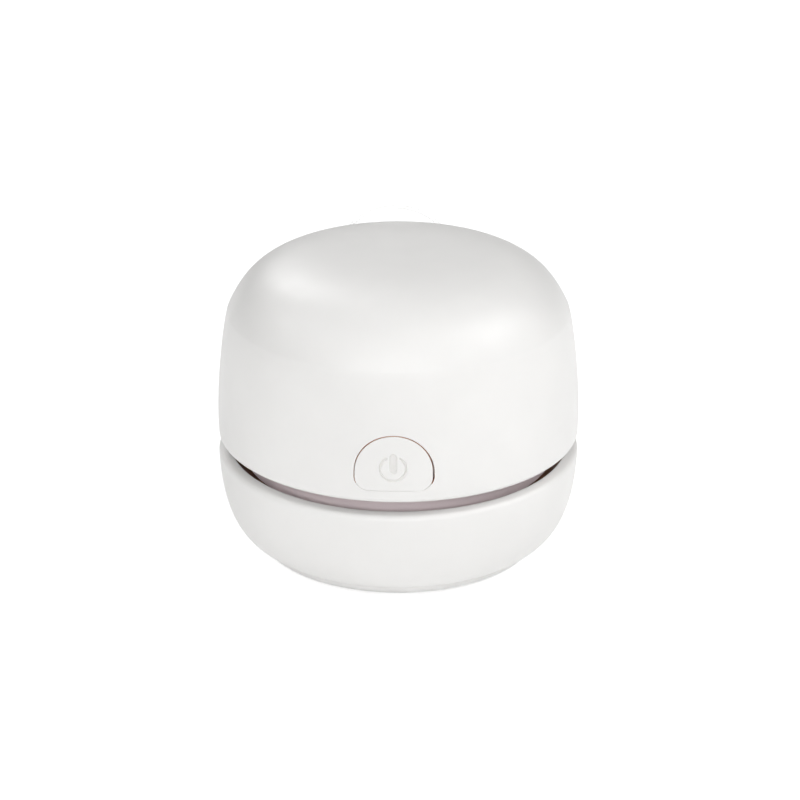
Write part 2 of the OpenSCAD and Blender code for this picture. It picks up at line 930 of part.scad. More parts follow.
module motor_end_bell() {
    color("#e4e1d8")
        difference() {
            union() {
                translate([0, 0, z_motor_top - bell_t])
                    linear_extrude(bell_t)
                        motor_section(can_r, motor_flat);
                translate([0, 0, z_motor_top - bell_t - bell_lip])
                    linear_extrude(bell_lip + 0.5)
                        motor_section(can_r - can_t - seat_gap, motor_flat - 2 * can_t - 2 * seat_gap);
                translate([0, 0, z_motor_top - 0.5])
                    cylinder(r = motor_boss_r, h = bush_out + 0.5);
            }
            translate([0, 0, z_motor_top - bell_t])
                cylinder(r = bush_r, h = bell_t + 2);
            translate([0, 0, z_motor_top - bell_t - bell_lip - 0.1])
                cylinder(r = 0.55 * can_r, h = bell_lip + 0.2);
        }
}

module motor_terminals() {
    color("#c8a45a")
        for (x = [-1, 1])
            translate([x * 0.62 * can_r - terminal_w / 2, -terminal_t / 2, z_motor_top])
                cube([terminal_w, terminal_t, terminal_h]);
}

module motor_screws() {
    color("#9a9ca0")
        for (x = [-1, 1])
            translate([x * motor_screw_x, 0, z_deck])
                screw(small_screw_d, 2 * small_screw_d, deck_t + can_t);
}

module motor_shaft() {
    color("#c4c7cb")
        translate([0, 0, z_fan + 0.4])
            cylinder(r = shaft_r, h = z_motor_top + 0.2 - z_fan);
}

module armature() {
    poles = 3;
    color("#8a8c90")
        translate([0, 0, z_armature])
            linear_extrude(armature_l)
                difference() {
                    union() {
                        circle(armature_hub_r);
                        for (i = [0:poles - 1])
                            rotate([0, 0, i * 360 / poles])
                                translate([0, -pole_w / 2])
                                    square([armature_r - pole_t / 2, pole_w]);
                        for (i = [0:poles - 1])
                            rotate([0, 0, i * 360 / poles])
                                intersection() {
                                    difference() {
                                        circle(armature_r);
                                        circle(armature_r - pole_t);
                                    }
                                    polygon(armature_r * [[0, 0], [2, 2.6], [2, -2.6]]);
                                }
                    }
                    circle(shaft_r);
                }
}

module armature_coils() {
    coil_in_x = armature_hub_r + 4 * coil_gap;
    color("#b4713c")
        for (i = [0:2])
            rotate([0, 0, i * 120])
                difference() {
                    translate([coil_in_x, -coil_w / 2, z_armature - coil_over])
                        cube([coil_out_x - coil_in_x, coil_w, armature_l + 2 * coil_over]);
                    translate([0, -pole_w / 2 - coil_gap, z_armature - coil_gap])
                        cube([armature_r, pole_w + 2 * coil_gap, armature_l + 2 * coil_gap]);
                }
}

module commutator() {
    color("#b4713c")
        ring(shaft_r, commutator_r, z_armature + armature_l + coil_over + 0.2, z_motor_top - bell_t - 0.3);
}

module impeller() {
    disc_t = 1.2;
    hub_r = 3.6;
    color("#dcdad6")
        difference() {
            union() {
                translate([0, 0, z_fan_top - disc_t])
                    cylinder(r = impeller_r, h = disc_t);
                translate([0, 0, z_fan])
                    cylinder(r = hub_r, h = impeller_h);
                translate([0, 0, z_fan])
                    linear_extrude(impeller_h - disc_t / 2)
                        for (i = [0:blades - 1])
                            rotate([0, 0, i * 360 / blades])
                                vane(
                                    0.4 * impeller_r, impeller_r - 0.3,
                                    impeller_r / 2, 0.6 * impeller_r, blade_t
                                );
            }
            translate([0, 0, z_fan + 0.4])
                cylinder(r = shaft_r + 0.01, h = impeller_h);
        }
}

module filter_frame() {
    bar_t = 1;
    tab_x = 0.62 * filter_r;
    color("#c9c6c1") {
        ring(filter_in_r, filter_r, z_seat, z_filter);
        for (a = [0, 90])
            rotate([0, 0, a])
                translate([-filter_in_r - 0.5, -0.7, z_seat])
                    cube([2 * filter_in_r + 1, 1.4, bar_t]);
        for (x = [-1, 1])
            translate([x * tab_x - 3, -0.7, z_seat - 2.2])
                cube([6, 1.4, 2.3]);
    }
}

// Folded filter paper: a zigzag run as wide as the frame
module filter_pleats() {
    folds = floor(2 * filter_in_r / pleat_pitch) * 2;
    start = -folds * pleat_pitch / 4;
    function fold(i) = [start + i * pleat_pitch / 2, (i % 2) * (pleat_h - paper_t)];
    top = [for (i = [0:folds]) fold(i) + [0, paper_t]];
    color("#e9e6dc")
        intersection() {
            translate([0, filter_r, z_filter - pleat_h])
                rotate([90, 0, 0])
                    linear_extrude(2 * filter_r)
                        polygon(concat([for (i = [0:folds]) fold(i)], reversed(top)));
            translate([0, 0, z_seat])
                cylinder(r = filter_in_r - 0.05, h = filter_h);
        }
}

module filter_gasket() {
    color("#55514f")
        ring(filter_in_r + 0.2, filter_r - 0.2, z_filter, z_gasket);
}

module cup_body() {
    inner_wall = inset_curve(cup_curve, cup_wall, cup_steps);
    bowl = [for (p = inner_wall) if (p[1] > z_floor + 0.5 && p[0] < lip_in_r - 0.05) p];
    rotate_extrude()
        polygon(concat(
            inset_curve(cup_curve, 0, cup_steps),
            arc([body_r - lip_edge_r, z_lip - lip_edge_r], lip_edge_r, 15, 90),
            arc([lip_in_r + lip_in_edge_r, z_lip - lip_in_edge_r], lip_in_edge_r, 90, 180),
            [[lip_in_r, bowl[len(bowl) - 1][1] + 0.8]],
            reversed(bowl),
            [[bowl[0][0] - 0.9, z_floor]],
            [[chimney_r, z_floor], [chimney_r, z_inlet - 0.4], [chimney_r - 0.4, z_inlet]],
            [[inlet_r + 0.4, z_inlet], [inlet_r, z_inlet - 0.4], [inlet_r, z_floor - floor_t]],
            [[cup_foot_r - 2.4, z_floor - floor_t], [cup_foot_r - 2.4, z_split]]
        ));
}

module dust_cup() {
    rib_in_r = collar_r + collar_wall + seat_gap;
    color("#ecebe8")
        difference() {
            union() {
                cup_body();
                // Ribs up the bowl's wall, whose tops carry the collar
                intersection() {
                    for (i = [0:cup_ribs - 1])
                        rotate([0, 0, (i + 0.5) * 360 / cup_ribs])
                            translate([rib_in_r, -cup_rib_t / 2, z_floor - 0.5])
                                cube([body_r - rib_in_r, cup_rib_t, z_collar - collar_t - z_floor + 0.5]);
                    rotate_extrude()
                        polygon(concat(
                            [[0, z_floor - 0.5]],
                            inset_curve(cup_curve, cup_wall / 2, cup_steps, 4),
                            [[0, z_lip]]
                        ));
                }
                around(base_screw_angles, base_ring_r)
                    translate([0, 0, z_base + plate_t])
                        cylinder(r = 2.4, h = floor_rise + base_h - plate_t + 0.2);
            }
            around(base_screw_angles, base_ring_r)
                translate([0, 0, z_base])
                    pilot_hole(screw_d, z_floor - 0.6 - z_base);
        }
}

module cup_collar() {
    color("#2b2826") {
        ring(collar_r, lip_in_r - seat_gap, z_collar - collar_t, z_collar);
        ring(collar_r, collar_r + collar_wall, z_seat - stop_t, z_collar);
        ring(neck_in_r + 0.25, collar_r + collar_wall, z_seat - stop_t, z_seat);
    }
}

module base_plate() {
    spigot_w = 1.2;
    rim_in_r = spigot_r - spigot_w;
    recess = 0.8;
    flare = 1.6;
    color("#e9e8e5")
        difference() {
            union() {
                rotate_extrude()
                    polygon([
                        [inlet_r, z_base + recess], [channel_in_r - channel_wall, z_base + recess],
                        [channel_in_r - channel_wall, z_base], [base_r - 1.6, z_base],
                        [base_r - 0.5, z_base + 0.35], [base_r, z_base + 1.2],
                        [base_r, z_split - 0.4], [base_r - 0.3, z_split],
                        [spigot_r, z_split], [spigot_r, z_split + 1.4],
                        [rim_in_r, z_split + 1.4], [rim_in_r, z_base + plate_t],
                        [inlet_r, z_base + plate_t]
                    ]);
                ring(channel_in_r - channel_wall, channel_out_r + channel_wall, z_base, z_channel);
                ring(inlet_r, chimney_r, z_base + recess, z_floor - floor_t - 0.2);
            }
            ring(channel_in_r, channel_out_r, z_base - 1, z_backing);
            translate([0, 0, z_base - 0.01])
                cylinder(r1 = inlet_r + flare, r2 = inlet_r, h = flare + recess);
            around(base_screw_angles, base_ring_r)
                translate([0, 0, z_base])
                    screw_hole(screw_d, screw_head_d, plate_t + 1);
            around([45:90:315], base_ring_r)
                translate([0, 0, z_base - 1])
                    cylinder(d = foot_d + 0.2, h = foot_recess + 1);
        }
}

module base_screws() {
    color("#9a9ca0")
        around(base_screw_angles, base_ring_r)
            translate([0, 0, z_base + 0.05])
                screw(screw_d, screw_head_d, z_floor - 1 - z_base);
}

module brush_ring() {
    z_bristle = z_backing - backing_t;
    pitch = (brush_w - 1.2) / (bristle_rows - 1);
    color("#4b4a4c") {
        ring(brush_r - brush_w / 2, brush_r + brush_w / 2, z_bristle, z_backing);
        for (row = [0:bristle_rows - 1], i = [0:bristles - 1])
            rotate([0, 0, (i + row / 2) * 360 / bristles])
                translate([brush_r + (row - (bristle_rows - 1) / 2) * pitch, 0, bristle_gap])
                    cylinder(d = bristle_t, h = z_bristle - bristle_gap + 0.2, $fn = 4);
    }
}

module glide_feet() {
    color("#8f8d8b")
        around([45:90:315], base_ring_r)
            cylinder(d = foot_d, h = foot_h + foot_recess);
}

top_shell();
hang_loop();
power_button();
switch_plunger();
push_switch();
control_board();
board_components();
charge_board();
board_screws();
usb_socket();
battery_cell();
battery_holder();
battery_contacts();
motor_deck();
neck_housing();
neck_o_ring();
neck_screws();
shell_screws();
motor_can();
motor_magnets();
motor_bushes();
motor_end_bell();
motor_terminals();
motor_screws();
motor_shaft();
armature();
armature_coils();
commutator();
impeller();
filter_frame();
filter_pleats();
filter_gasket();
dust_cup();
cup_collar();
base_plate();
base_screws();
brush_ring();
glide_feet();
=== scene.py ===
import math

import bmesh
import bpy
import numpy as np
from mathutils import Euler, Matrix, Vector
from mathutils.geometry import delaunay_2d_cdt


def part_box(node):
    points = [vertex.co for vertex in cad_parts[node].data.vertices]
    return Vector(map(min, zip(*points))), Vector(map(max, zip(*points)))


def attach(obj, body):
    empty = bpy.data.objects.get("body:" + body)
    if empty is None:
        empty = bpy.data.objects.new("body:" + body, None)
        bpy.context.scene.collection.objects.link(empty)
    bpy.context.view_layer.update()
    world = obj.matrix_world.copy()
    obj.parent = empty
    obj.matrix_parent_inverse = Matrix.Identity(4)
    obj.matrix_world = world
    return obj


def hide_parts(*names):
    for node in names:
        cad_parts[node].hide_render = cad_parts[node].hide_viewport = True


# Desktop mini vacuum cleaner: the looks of every piece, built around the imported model.
# Lengths in the shape code are millimetres; objects are made in metres.
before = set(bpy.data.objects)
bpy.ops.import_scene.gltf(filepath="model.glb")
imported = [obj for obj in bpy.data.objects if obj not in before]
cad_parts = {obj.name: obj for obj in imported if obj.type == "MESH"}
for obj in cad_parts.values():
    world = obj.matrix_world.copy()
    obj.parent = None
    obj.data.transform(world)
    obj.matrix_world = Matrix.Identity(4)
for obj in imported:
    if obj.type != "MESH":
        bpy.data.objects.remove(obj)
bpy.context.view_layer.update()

MM = 0.001
X, Y, Z = 0, 1, 2


def low(node, axis=Z):
    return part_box(node)[0][axis] / MM


def high(node, axis=Z):
    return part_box(node)[1][axis] / MM


# ---------------------------------------------------------------- sizes from the frame
CROWN = high("top_shell")
RIM = low("top_shell")
BODY_R = high("dust_cup", X)
LIP = high("dust_cup")
BASE = low("base_plate")
BASE_R = high("base_plate", X)
COLLAR = high("cup_collar")
NECK_R = high("neck_housing", X)
LOOP_Y = (low("hang_loop", Y) + high("hang_loop", Y)) / 2
LOOP_TOP = high("hang_loop")
LOOP_LOW = low("hang_loop")
SWITCH_Z = (low("push_switch") + high("push_switch")) / 2
SOCKET_Y = high("usb_socket", Y)
SOCKET_FRONT = low("usb_socket", Y)
SOCKET_Z = (low("usb_socket") + high("usb_socket")) / 2
BRUSH_R = (high("brush_ring", X) + low("brush_ring", X)) / 2
BRISTLE_TIP = low("brush_ring")
BRUSH_TOP = high("brush_ring")

# ---------------------------------------------------------------- driving sizes
SEGMENTS = 288

# Dome. The pulls, the bulge and the crown's two shares place the handles of its curves
SHOULDER = np.array([BODY_R - 2.8, RIM + 30.25])
SHOULDER_LEAN = math.radians(24.8)
SHOULDER_PULL = 2.3
SIDE_BULGE = 0.5
SIDE_PULL = 9.8
CROWN_RISE = 0.955
CROWN_FLAT = 0.655
RIM_INSET = 0.1
RIM_EDGE_R = 1.2
RIM_IN_EDGE_R = 0.3
SHELL_WALL = 2.2
HOLE_EDGE_R = 0.15

# Cup
CUP_WALL = 2.2
LIP_W = 2.8
LIP_FALL = 0.4
LIP_EDGE_R = 1.2
LIP_IN_EDGE_R = 0.3
LIP_PULL = (0.3, 9.6)
SPLIT = BASE + 2.4
FOOT_R = BASE_R + 0.4
FOOT_PULL = (6.3, 1.4)
FOOT_LEDGE = 2.4
FLOOR = SPLIT + 4.0
FLOOR_T = 1.8
INLET_R = 8.0
CHIMNEY_R = 9.5
INLET_TOP = FLOOR + 2.4
CUP_RIBS = 12
RIB_IN = NECK_R + 2.15
RIB_TOP = COLLAR - 1.2
RIB_T = 1.2

# Shoulder ring of the neck
BAND_R = NECK_R + 3.0
BAND_LOW = LIP - 2.9
BAND_TOP = LIP + 0.7
BAND_EDGE_R = 0.3
BAND_SUNK = 0.4

# Button
BUTTON_X = -0.1
BUTTON_W = 17.2
BUTTON_H = 12.8
BUTTON_LOW = RIM + 3.05
BUTTON_CORNER_R = 3.0
BUTTON_EDGE_R = 0.18
# The gap round it, every 45 degrees from the right: it rests low and to the left in its hole
BUTTON_GAPS = (0.34, 0.2, 0.15, 0.22, 0.12, 0.02, 0.02, 0.05, 0.34)
# The lowest part of the gap's walls, which stays white, without the gap's painted shade
PAINTED_SHADE_FROM = 1.5
FLANGE_OVER = 1.0
FLANGE_GAP = 0.3
FLANGE_T = 1.2
FLANGE_FRONT = SHELL_WALL + FLANGE_GAP
FLANGE_BACK = FLANGE_FRONT + FLANGE_T
STEM_R = 2.0
STEM_L = 1.8
STEM_ROOT = 0.6

# Power symbol
SYMBOL_X = -0.2
SYMBOL_Z = BUTTON_LOW + 5.3
SYMBOL_R = 2.85
SYMBOL_BAND = 0.4
SYMBOL_OPEN = math.radians(34)
SYMBOL_BAR_W = 1.45
SYMBOL_BAR = (SYMBOL_Z - 0.3, SYMBOL_Z + 2.65)
SYMBOL_DEPTH = 0.5
SYMBOL_SOFT = 0.4

# Charging socket
SOCKET_W = 8.9
SOCKET_H = 3.2
SOCKET_WALL = 0.35
SOCKET_GAP = 0.3
TONGUE_W = SOCKET_W - 2.2
TONGUE_T = 0.7
TONGUE_TIP = SOCKET_Y - 1.2

# Hang loop
LOOP_R = 14.4
LOOP_D = 0.9
LOOP_X = -1.4
LOOP_HOLE_R = 0.75
LOOP_BEAD_H = 0.8

# Spacing of the points round a hole or a button
HOLE_PITCH = 0.22


# ---------------------------------------------------------------- shape helpers
def bezier(points, steps):
    t = np.linspace(0, 1, steps + 1)[:, None]
    a, b, c, d = np.array(points, float)
    return (1 - t) ** 3 * a + 3 * (1 - t) ** 2 * t * b + 3 * (1 - t) * t**2 * c + t**3 * d


def inset(line, distance):
    """The line moved square to itself, towards the axis."""
    slope = np.gradient(line, axis=0)
    slope /= np.linalg.norm(slope, axis=1)[:, None]
    return line - distance * np.column_stack([slope[:, 1], -slope[:, 0]])


def rounded(corners, steps=5):
    """A closed outline through corners of (x, y, radius), with an arc at each that has a radius."""
    points = []
    for i, (x, y, radius) in enumerate(corners):
        here = np.array([x, y], float)
        if radius == 0:
            points.append(here)
            continue
        before = np.array(corners[i - 1][:2]) - here
        after = np.array(corners[(i + 1) % len(corners)][:2]) - here
        before /= np.linalg.norm(before)
        after /= np.linalg.norm(after)
        half = math.acos(float(np.clip(before @ after, -1, 1))) / 2
        centre = here + (before + after) / np.linalg.norm(before + after) * radius / math.sin(half)
        start = here + before * radius / math.tan(half) - centre
        end = here + after * radius / math.tan(half) - centre
        first = math.atan2(start[1], start[0])
        sweep = (math.atan2(end[1], end[0]) - first + math.pi) % (2 * math.pi) - math.pi
        for k in range(steps + 1):
            a = first + sweep * k / steps
            points.append(centre + radius * np.array([math.cos(a), math.sin(a)]))
    return np.array(points)


def revolve(profile, closed=True, segments=SEGMENTS):
    """Points and faces of a profile of (r, z) turned about Z."""
    profile = np.asarray(profile, float)
    angles = np.arange(segments) * 2 * math.pi / segments
    verts = np.stack(
        [
            profile[:, :1] * np.sin(angles),
            -profile[:, :1] * np.cos(angles),
            profile[:, 1:] + 0 * angles,
        ],
        axis=2,
    ).reshape(-1, 3)
    rows = len(profile)
    faces = []
    for i in range(rows if closed else rows - 1):
        k = (i + 1) % rows
        for j in range(segments):
            n = (j + 1) % segments
            faces.append((i * segments + j, i * segments + n, k * segments + n, k * segments + j))
    return verts, faces


def prism(shape, thickness):
    """A flat outline of (x, z) made thickness thick along Y, about the middle."""
    count = len(shape)
    verts = [(x, y, z) for y in (-thickness / 2, thickness / 2) for x, z in shape]
    faces = [tuple(range(count)), tuple(range(2 * count - 1, count - 1, -1))]
    faces += [(i, (i + 1) % count, count + (i + 1) % count, count + i) for i in range(count)]
    return np.array(verts, float), faces


def sweep(path, radii, sides=16):
    """A round tube along a path, closed at both ends."""
    path = np.asarray(path, float)
    along = np.gradient(path, axis=0)
    along /= np.linalg.norm(along, axis=1)[:, None]
    normal = np.cross(along[0], (0.3, 0.9, 0.31))
    verts, faces = [], []
    angles = np.arange(sides) * 2 * math.pi / sides
    for p, t, r in zip(path, along, radii):
        normal = normal - (normal @ t) * t
        normal /= np.linalg.norm(normal)
        across = np.cross(t, normal)
        verts += [p + r * (math.cos(a) * normal + math.sin(a) * across) for a in angles]
    for i in range(len(path) - 1):
        for j in range(sides):
            n = (j + 1) % sides
            faces.append((i * sides + j, i * sides + n, (i + 1) * sides + n, (i + 1) * sides + j))
    faces.append(tuple(range(sides)))
    faces.append(tuple(range((len(path) - 1) * sides, len(path) * sides)))
    return np.array(verts), faces


def turned(part, euler=(0, 0, 0), move=(0, 0, 0)):
    verts, faces = part
    matrix = np.array(Euler([math.radians(a) for a in euler]).to_matrix())
    return verts @ matrix.T + np.array(move, float), faces


def joined(parts):
    verts, faces, start = [], [], 0
    for part_verts, part_faces in parts:
        verts.append(part_verts)
        faces += [tuple(start + i for i in face) for face in part_faces]
        start += len(part_verts)
    return np.vstack(verts), faces


def piece(name, part, material, body, replaces=(), sharp=36):
    """Makes an object of a part in millimetres, with clean outward faces, that rides on a body."""
    verts, faces = part
    mesh = bpy.data.meshes.new(name)
    mesh.from_pydata((verts * MM).tolist(), [], faces)
    work = bmesh.new()
    work.from_mesh(mesh)
    bmesh.ops.remove_doubles(work, verts=work.verts, dist=1e-7)
    bmesh.ops.dissolve_degenerate(work, edges=work.edges, dist=1e-8)
    bmesh.ops.recalc_face_normals(work, faces=work.faces)
    for face in work.faces:
        face.smooth = True
    work.to_mesh(mesh)
    work.free()
    mesh.set_sharp_from_angle(angle=math.radians(sharp))
    made = bpy.data.objects.new(name, mesh)
    bpy.context.scene.collection.objects.link(made)
    made.data.materials.append(material)
    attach(made, body)
    if replaces:
        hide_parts(*replaces)
    return made


def tint(made, material, chosen):
    """A further finish on the faces that chosen picks by their middle, in millimetres, and normal."""
    made.data.materials.append(material)
    number = len(made.data.materials) - 1
    for face in made.data.polygons:
        if chosen(face.center / MM, face.normal):
            face.material_index = number


# ---------------------------------------------------------------- holes in the dome
def outline(arcs, spacing):
    """Points and outward normals round arcs of (x, y, radius, from, to), with straight runs between."""
    points, normals = [], []
    ends = []
    for x, y, radius, start, end in arcs:
        a = math.radians(start)
        ends.append(np.array([x + radius * math.cos(a), y + radius * math.sin(a)]))
    for i, (x, y, radius, start, end) in enumerate(arcs):
        count = max(3, math.ceil(abs(math.radians(end - start)) * radius / spacing))
        for a in np.radians(np.linspace(start, end, count + 1)):
            normals.append(np.array([math.cos(a), math.sin(a)]))
            points.append(np.array([x, y]) + radius * normals[-1])
        run = ends[(i + 1) % len(arcs)] - points[-1]
        steps = max(1, round(float(np.linalg.norm(run)) / spacing))
        if np.linalg.norm(run) < 1e-6:
            points.pop()
            normals.pop()
            continue
        last, normal = points[-1], normals[-1]
        for k in range(1, steps):
            points.append(last + run * k / steps)
            normals.append(normal)
    return np.array(points), np.array(normals)


def strike(line, base, way, near, far):
    """Where rays from base along way leave the surface that the line turns, between near and far."""
    halvings = 44
    near = np.full(len(base), float(near))
    far = np.full(len(base), float(far))
    for _ in range(halvings):
        mid = (near + far) / 2
        p = base + mid[:, None] * way
        outside = np.hypot(p[:, X], p[:, Y]) > np.interp(p[:, Z], line[:, 1], line[:, 0])
        far = np.where(outside, mid, far)
        near = np.where(outside, near, mid)
    return base + near[:, None] * way


def inside(points, polygon):
    """Which 2-D points lie in the polygon."""
    x, y = points[:, :1], points[:, 1:]
    ax, ay = polygon[:, 0], polygon[:, 1]
    bx, by = np.roll(ax, -1), np.roll(ay, -1)
    crosses = (ay > y) != (by > y)
    at = ax + (y - ay) * (bx - ax) / np.where(by == ay, 1e-12, by - ay)
    return (crosses & (x < at)).sum(axis=1) % 2 == 1


def hole_ring(hole, line, offset, depth):
    """The hole's outline grown by offset, on the surface that the line turns, sunk by depth."""
    flat = hole["points"] + offset * hole["normals"]
    base = hole["origin"] + flat[:, :1] * hole["u"] + flat[:, 1:] * hole["v"]
    return strike(line, base, hole["way"], *hole["reach"]) - depth * hole["way"]


def make_hole(arcs, spacing, origin, u, v, way, reach):
    points, normals = outline(arcs, spacing)
    return {
        "points": points, "normals": normals, "origin": np.array(origin, float),
        "u": np.array(u, float), "v": np.array(v, float), "way": np.array(way, float),
        "reach": reach,
    }


def hole_rings(hole, line, edge_r):
    """Rings from the hole's wall round its edge and on over the surface. Also the number of the
    first ring that lies on the surface."""
    edge_steps = 5 if edge_r else 0
    rings = []
    for k in range(edge_steps + 1):
        a = math.pi / 2 * k / edge_steps if edge_r else math.pi / 2
        rings.append(hole_ring(hole, line, edge_r * (1 - math.cos(a)), edge_r * (1 - math.sin(a))))
    rings += [hole_ring(hole, line, edge_r + more, 0) for more in (0.35, 0.85, 1.6)]
    return rings, edge_steps


def patch(line, rings, ring_ids, middle):
    """Triangles from a hole's rings on the surface to the grid of quads round them, and the quads
    whose place they take. The area is laid flat about the hole's middle for this."""
    clear = 0.45
    turn = 2 * math.pi / SEGMENTS
    arc = np.concatenate([[0], np.cumsum(np.linalg.norm(np.diff(line, axis=0), axis=1))])
    theta0 = math.atan2(middle[X], -middle[Y])
    radius = math.hypot(middle[X], middle[Y])

    def flat(p):
        theta = np.arctan2(p[:, X], -p[:, Y]) - theta0
        theta = (theta + math.pi) % (2 * math.pi) - math.pi
        return np.column_stack([theta * radius, np.interp(p[:, Z], line[:, 1], arc)])

    def cell(i, j):
        return (j * turn - theta0) * radius, arc[i]

    outer = flat(rings[-1])
    first = math.floor((theta0 + outer[:, 0].min() / radius) / turn) - 1
    last = math.ceil((theta0 + outer[:, 0].max() / radius) / turn) + 1
    bottom = int(np.searchsorted(arc, outer[:, 1].min())) - 2
    top = int(np.searchsorted(arc, outer[:, 1].max())) + 1
    taken = {(i, j % SEGMENTS) for i in range(bottom, top) for j in range(first, last)}

    border = [(bottom, j) for j in range(first, last)]
    border += [(i, last) for i in range(bottom, top)]
    border += [(top, j) for j in range(last, first, -1)]
    border += [(i, first) for i in range(top, bottom, -1)]
    within = [(i, j) for i in range(bottom + 1, top) for j in range(first + 1, last)]
    spots = np.array([cell(i, j) for i, j in within])
    away = np.linalg.norm(spots[:, None] - outer[None], axis=2).min(axis=1) > clear
    within = [c for c, far in zip(within, away & ~inside(spots, outer)) if far]

    coords = [cell(i, j) for i, j in border + within]
    ids = [i * SEGMENTS + j % SEGMENTS for i, j in border + within]
    edges = [(k, (k + 1) % len(border)) for k in range(len(border))]
    for ring, numbers in zip(rings, ring_ids):
        start = len(coords)
        coords += flat(ring).tolist()
        ids += numbers
        edges += [(start + k, start + (k + 1) % len(ring)) for k in range(len(ring))]
    made = delaunay_2d_cdt([Vector(c) for c in coords], edges, [], 0, 1e-7)
    corners = np.array([[v.x, v.y] for v in made[0]])
    source = [o[0] for o in made[3]]
    triangles = np.array(made[2])
    empty = inside(corners[triangles].mean(axis=1), flat(rings[0]))
    return [tuple(ids[source[v]] for v in t) for t, gone in zip(triangles, empty) if not gone], taken


def skin(line, holes, edge_r):
    """The surface that the line turns, cut by holes whose edges are rounded by edge_r.
    Returns its points, its faces, and the points of each hole's innermost ring."""
    grid, quads = revolve(line, closed=False)
    verts, count = [grid], len(grid)
    faces, taken, rims = [], set(), []
    for hole in holes:
        rings, first_flat = hole_rings(hole, line, edge_r)
        ring_ids = []
        for ring in rings:
            verts.append(ring)
            ring_ids.append(list(range(count, count + len(ring))))
            count += len(ring)
        middle = rings[0].mean(axis=0)
        triangles, cells = patch(line, rings[first_flat:], ring_ids[first_flat:], middle)
        faces += triangles
        taken |= cells
        for a, b in zip(ring_ids[:first_flat], ring_ids[1:]):
            n = len(a)
            faces += [(a[k], a[(k + 1) % n], b[(k + 1) % n], b[k]) for k in range(n)]
        rims.append(rings[0])
    for number, quad in enumerate(quads):
        if divmod(number, SEGMENTS) not in taken:
            faces.append(quad)
    return np.vstack(verts), faces, rims


def band(first, second):
    """Faces between two rings of as many points."""
    n = len(first)
    faces = [(k, (k + 1) % n, n + (k + 1) % n, n + k) for k in range(n)]
    return np.vstack([first, second]), faces


# ---------------------------------------------------------------- lines of the form
def dome_lines():
    """The dome's outer line from under its rim to the crown, and its inner line likewise."""
    lean = np.array([math.sin(SHOULDER_LEAN), -math.cos(SHOULDER_LEAN)])
    rim_r, side_z = BODY_R - RIM_INSET, RIM + RIM_EDGE_R
    side = bezier([
        (rim_r, side_z), (BODY_R + SIDE_BULGE, side_z + SIDE_PULL), SHOULDER + SHOULDER_PULL * lean, SHOULDER
    ], 36)
    reach = CROWN_RISE * (CROWN - SHOULDER[1])
    away = SHOULDER + reach * np.array([-math.tan(SHOULDER_LEAN), 1])
    crown = bezier([SHOULDER, away, (CROWN_FLAT * SHOULDER[0], CROWN), (0, CROWN)], 48)
    outer = np.vstack([side, crown[1:]])
    inner = inset(outer, SHELL_WALL)
    # The inner line's first points are left out, so that its skirt drops straight to the rim
    skirt = 6
    inner = np.vstack([[(inner[skirt, 0], RIM)], inner[skirt:-1], [(0, CROWN - SHELL_WALL)]])
    middle = ((rim_r - RIM_EDGE_R + inner[0, 0]) / 2, RIM)
    corner = rounded([(*middle, 0), (rim_r, RIM, RIM_EDGE_R), (*outer[1], 0)], 8)
    outer = np.vstack([corner, outer[2:]])
    corner = rounded([(*middle, 0), (*inner[0], RIM_IN_EDGE_R), (*inner[1], 0)])
    inner = np.vstack([corner, inner[2:]])
    return outer, inner


def button_arcs():
    half = BUTTON_W / 2
    top = BUTTON_LOW + BUTTON_H - half
    low_z = BUTTON_LOW + BUTTON_CORNER_R
    side = half - BUTTON_CORNER_R
    return [
        (BUTTON_X, top, half, 0, 180),
        (BUTTON_X - side, low_z, BUTTON_CORNER_R, 180, 270),
        (BUTTON_X + side, low_z, BUTTON_CORNER_R, 270, 360),
    ]


def slot_arcs(width, height, middle):
    side = (width - height) / 2
    return [(side, middle, height / 2, -90, 90), (-side, middle, height / 2, 90, 270)]


def side_hole(arcs, way_y):
    """A hole through the dome's front, where way_y is -1, or its back, where it is 1."""
    reach = (20, 60)
    return make_hole(arcs, HOLE_PITCH, (0, 0, 0), (-way_y, 0, 0), (0, 0, 1), (0, way_y, 0), reach)


def grown(arcs, gap):
    return [(x, y, radius + gap, start, end) for x, y, radius, start, end in arcs]


def loop_path():
    """The loop's middle line: half a ring on two straight legs."""
    centre_z = LOOP_TOP - LOOP_D / 2 - LOOP_R
    angles = np.radians(np.linspace(-90, 90, 73))
    ring = np.column_stack([
        LOOP_X + LOOP_R * np.sin(angles), 0 * angles + LOOP_Y, centre_z + LOOP_R * np.cos(angles)
    ])
    feet = [(ring[k, X], LOOP_Y, LOOP_LOW + LOOP_BEAD_H) for k in (0, -1)]
    return np.vstack([feet[0], ring, feet[1]])


def loop_holes(line):
    """A round hole, square to the dome, where each leg of the loop leaves it."""
    path = loop_path()
    outside = np.hypot(path[:, X], path[:, Y]) > np.interp(path[:, Z], line[:, 1], line[:, 0])
    reach = (-4, 4)
    pitch = 0.25
    holes = []
    for k in (int(np.argmax(outside)), len(path) - 1 - int(np.argmax(outside[::-1]))):
        at = path[k]
        r = math.hypot(at[X], at[Y])
        row = int(np.searchsorted(line[:, 1], at[Z]))
        slope = line[row + 1] - line[row - 1]
        slope /= np.linalg.norm(slope)
        out = np.array([at[X] / r, at[Y] / r, 0])
        way = out * slope[1] - np.array([0, 0, 1]) * slope[0]
        u = np.array([-out[Y], out[X], 0])
        arcs = [(0, 0, LOOP_HOLE_R, 0, 360)]
        holes.append(make_hole(arcs, pitch, at, u, np.cross(way, u), way, reach))
    return holes


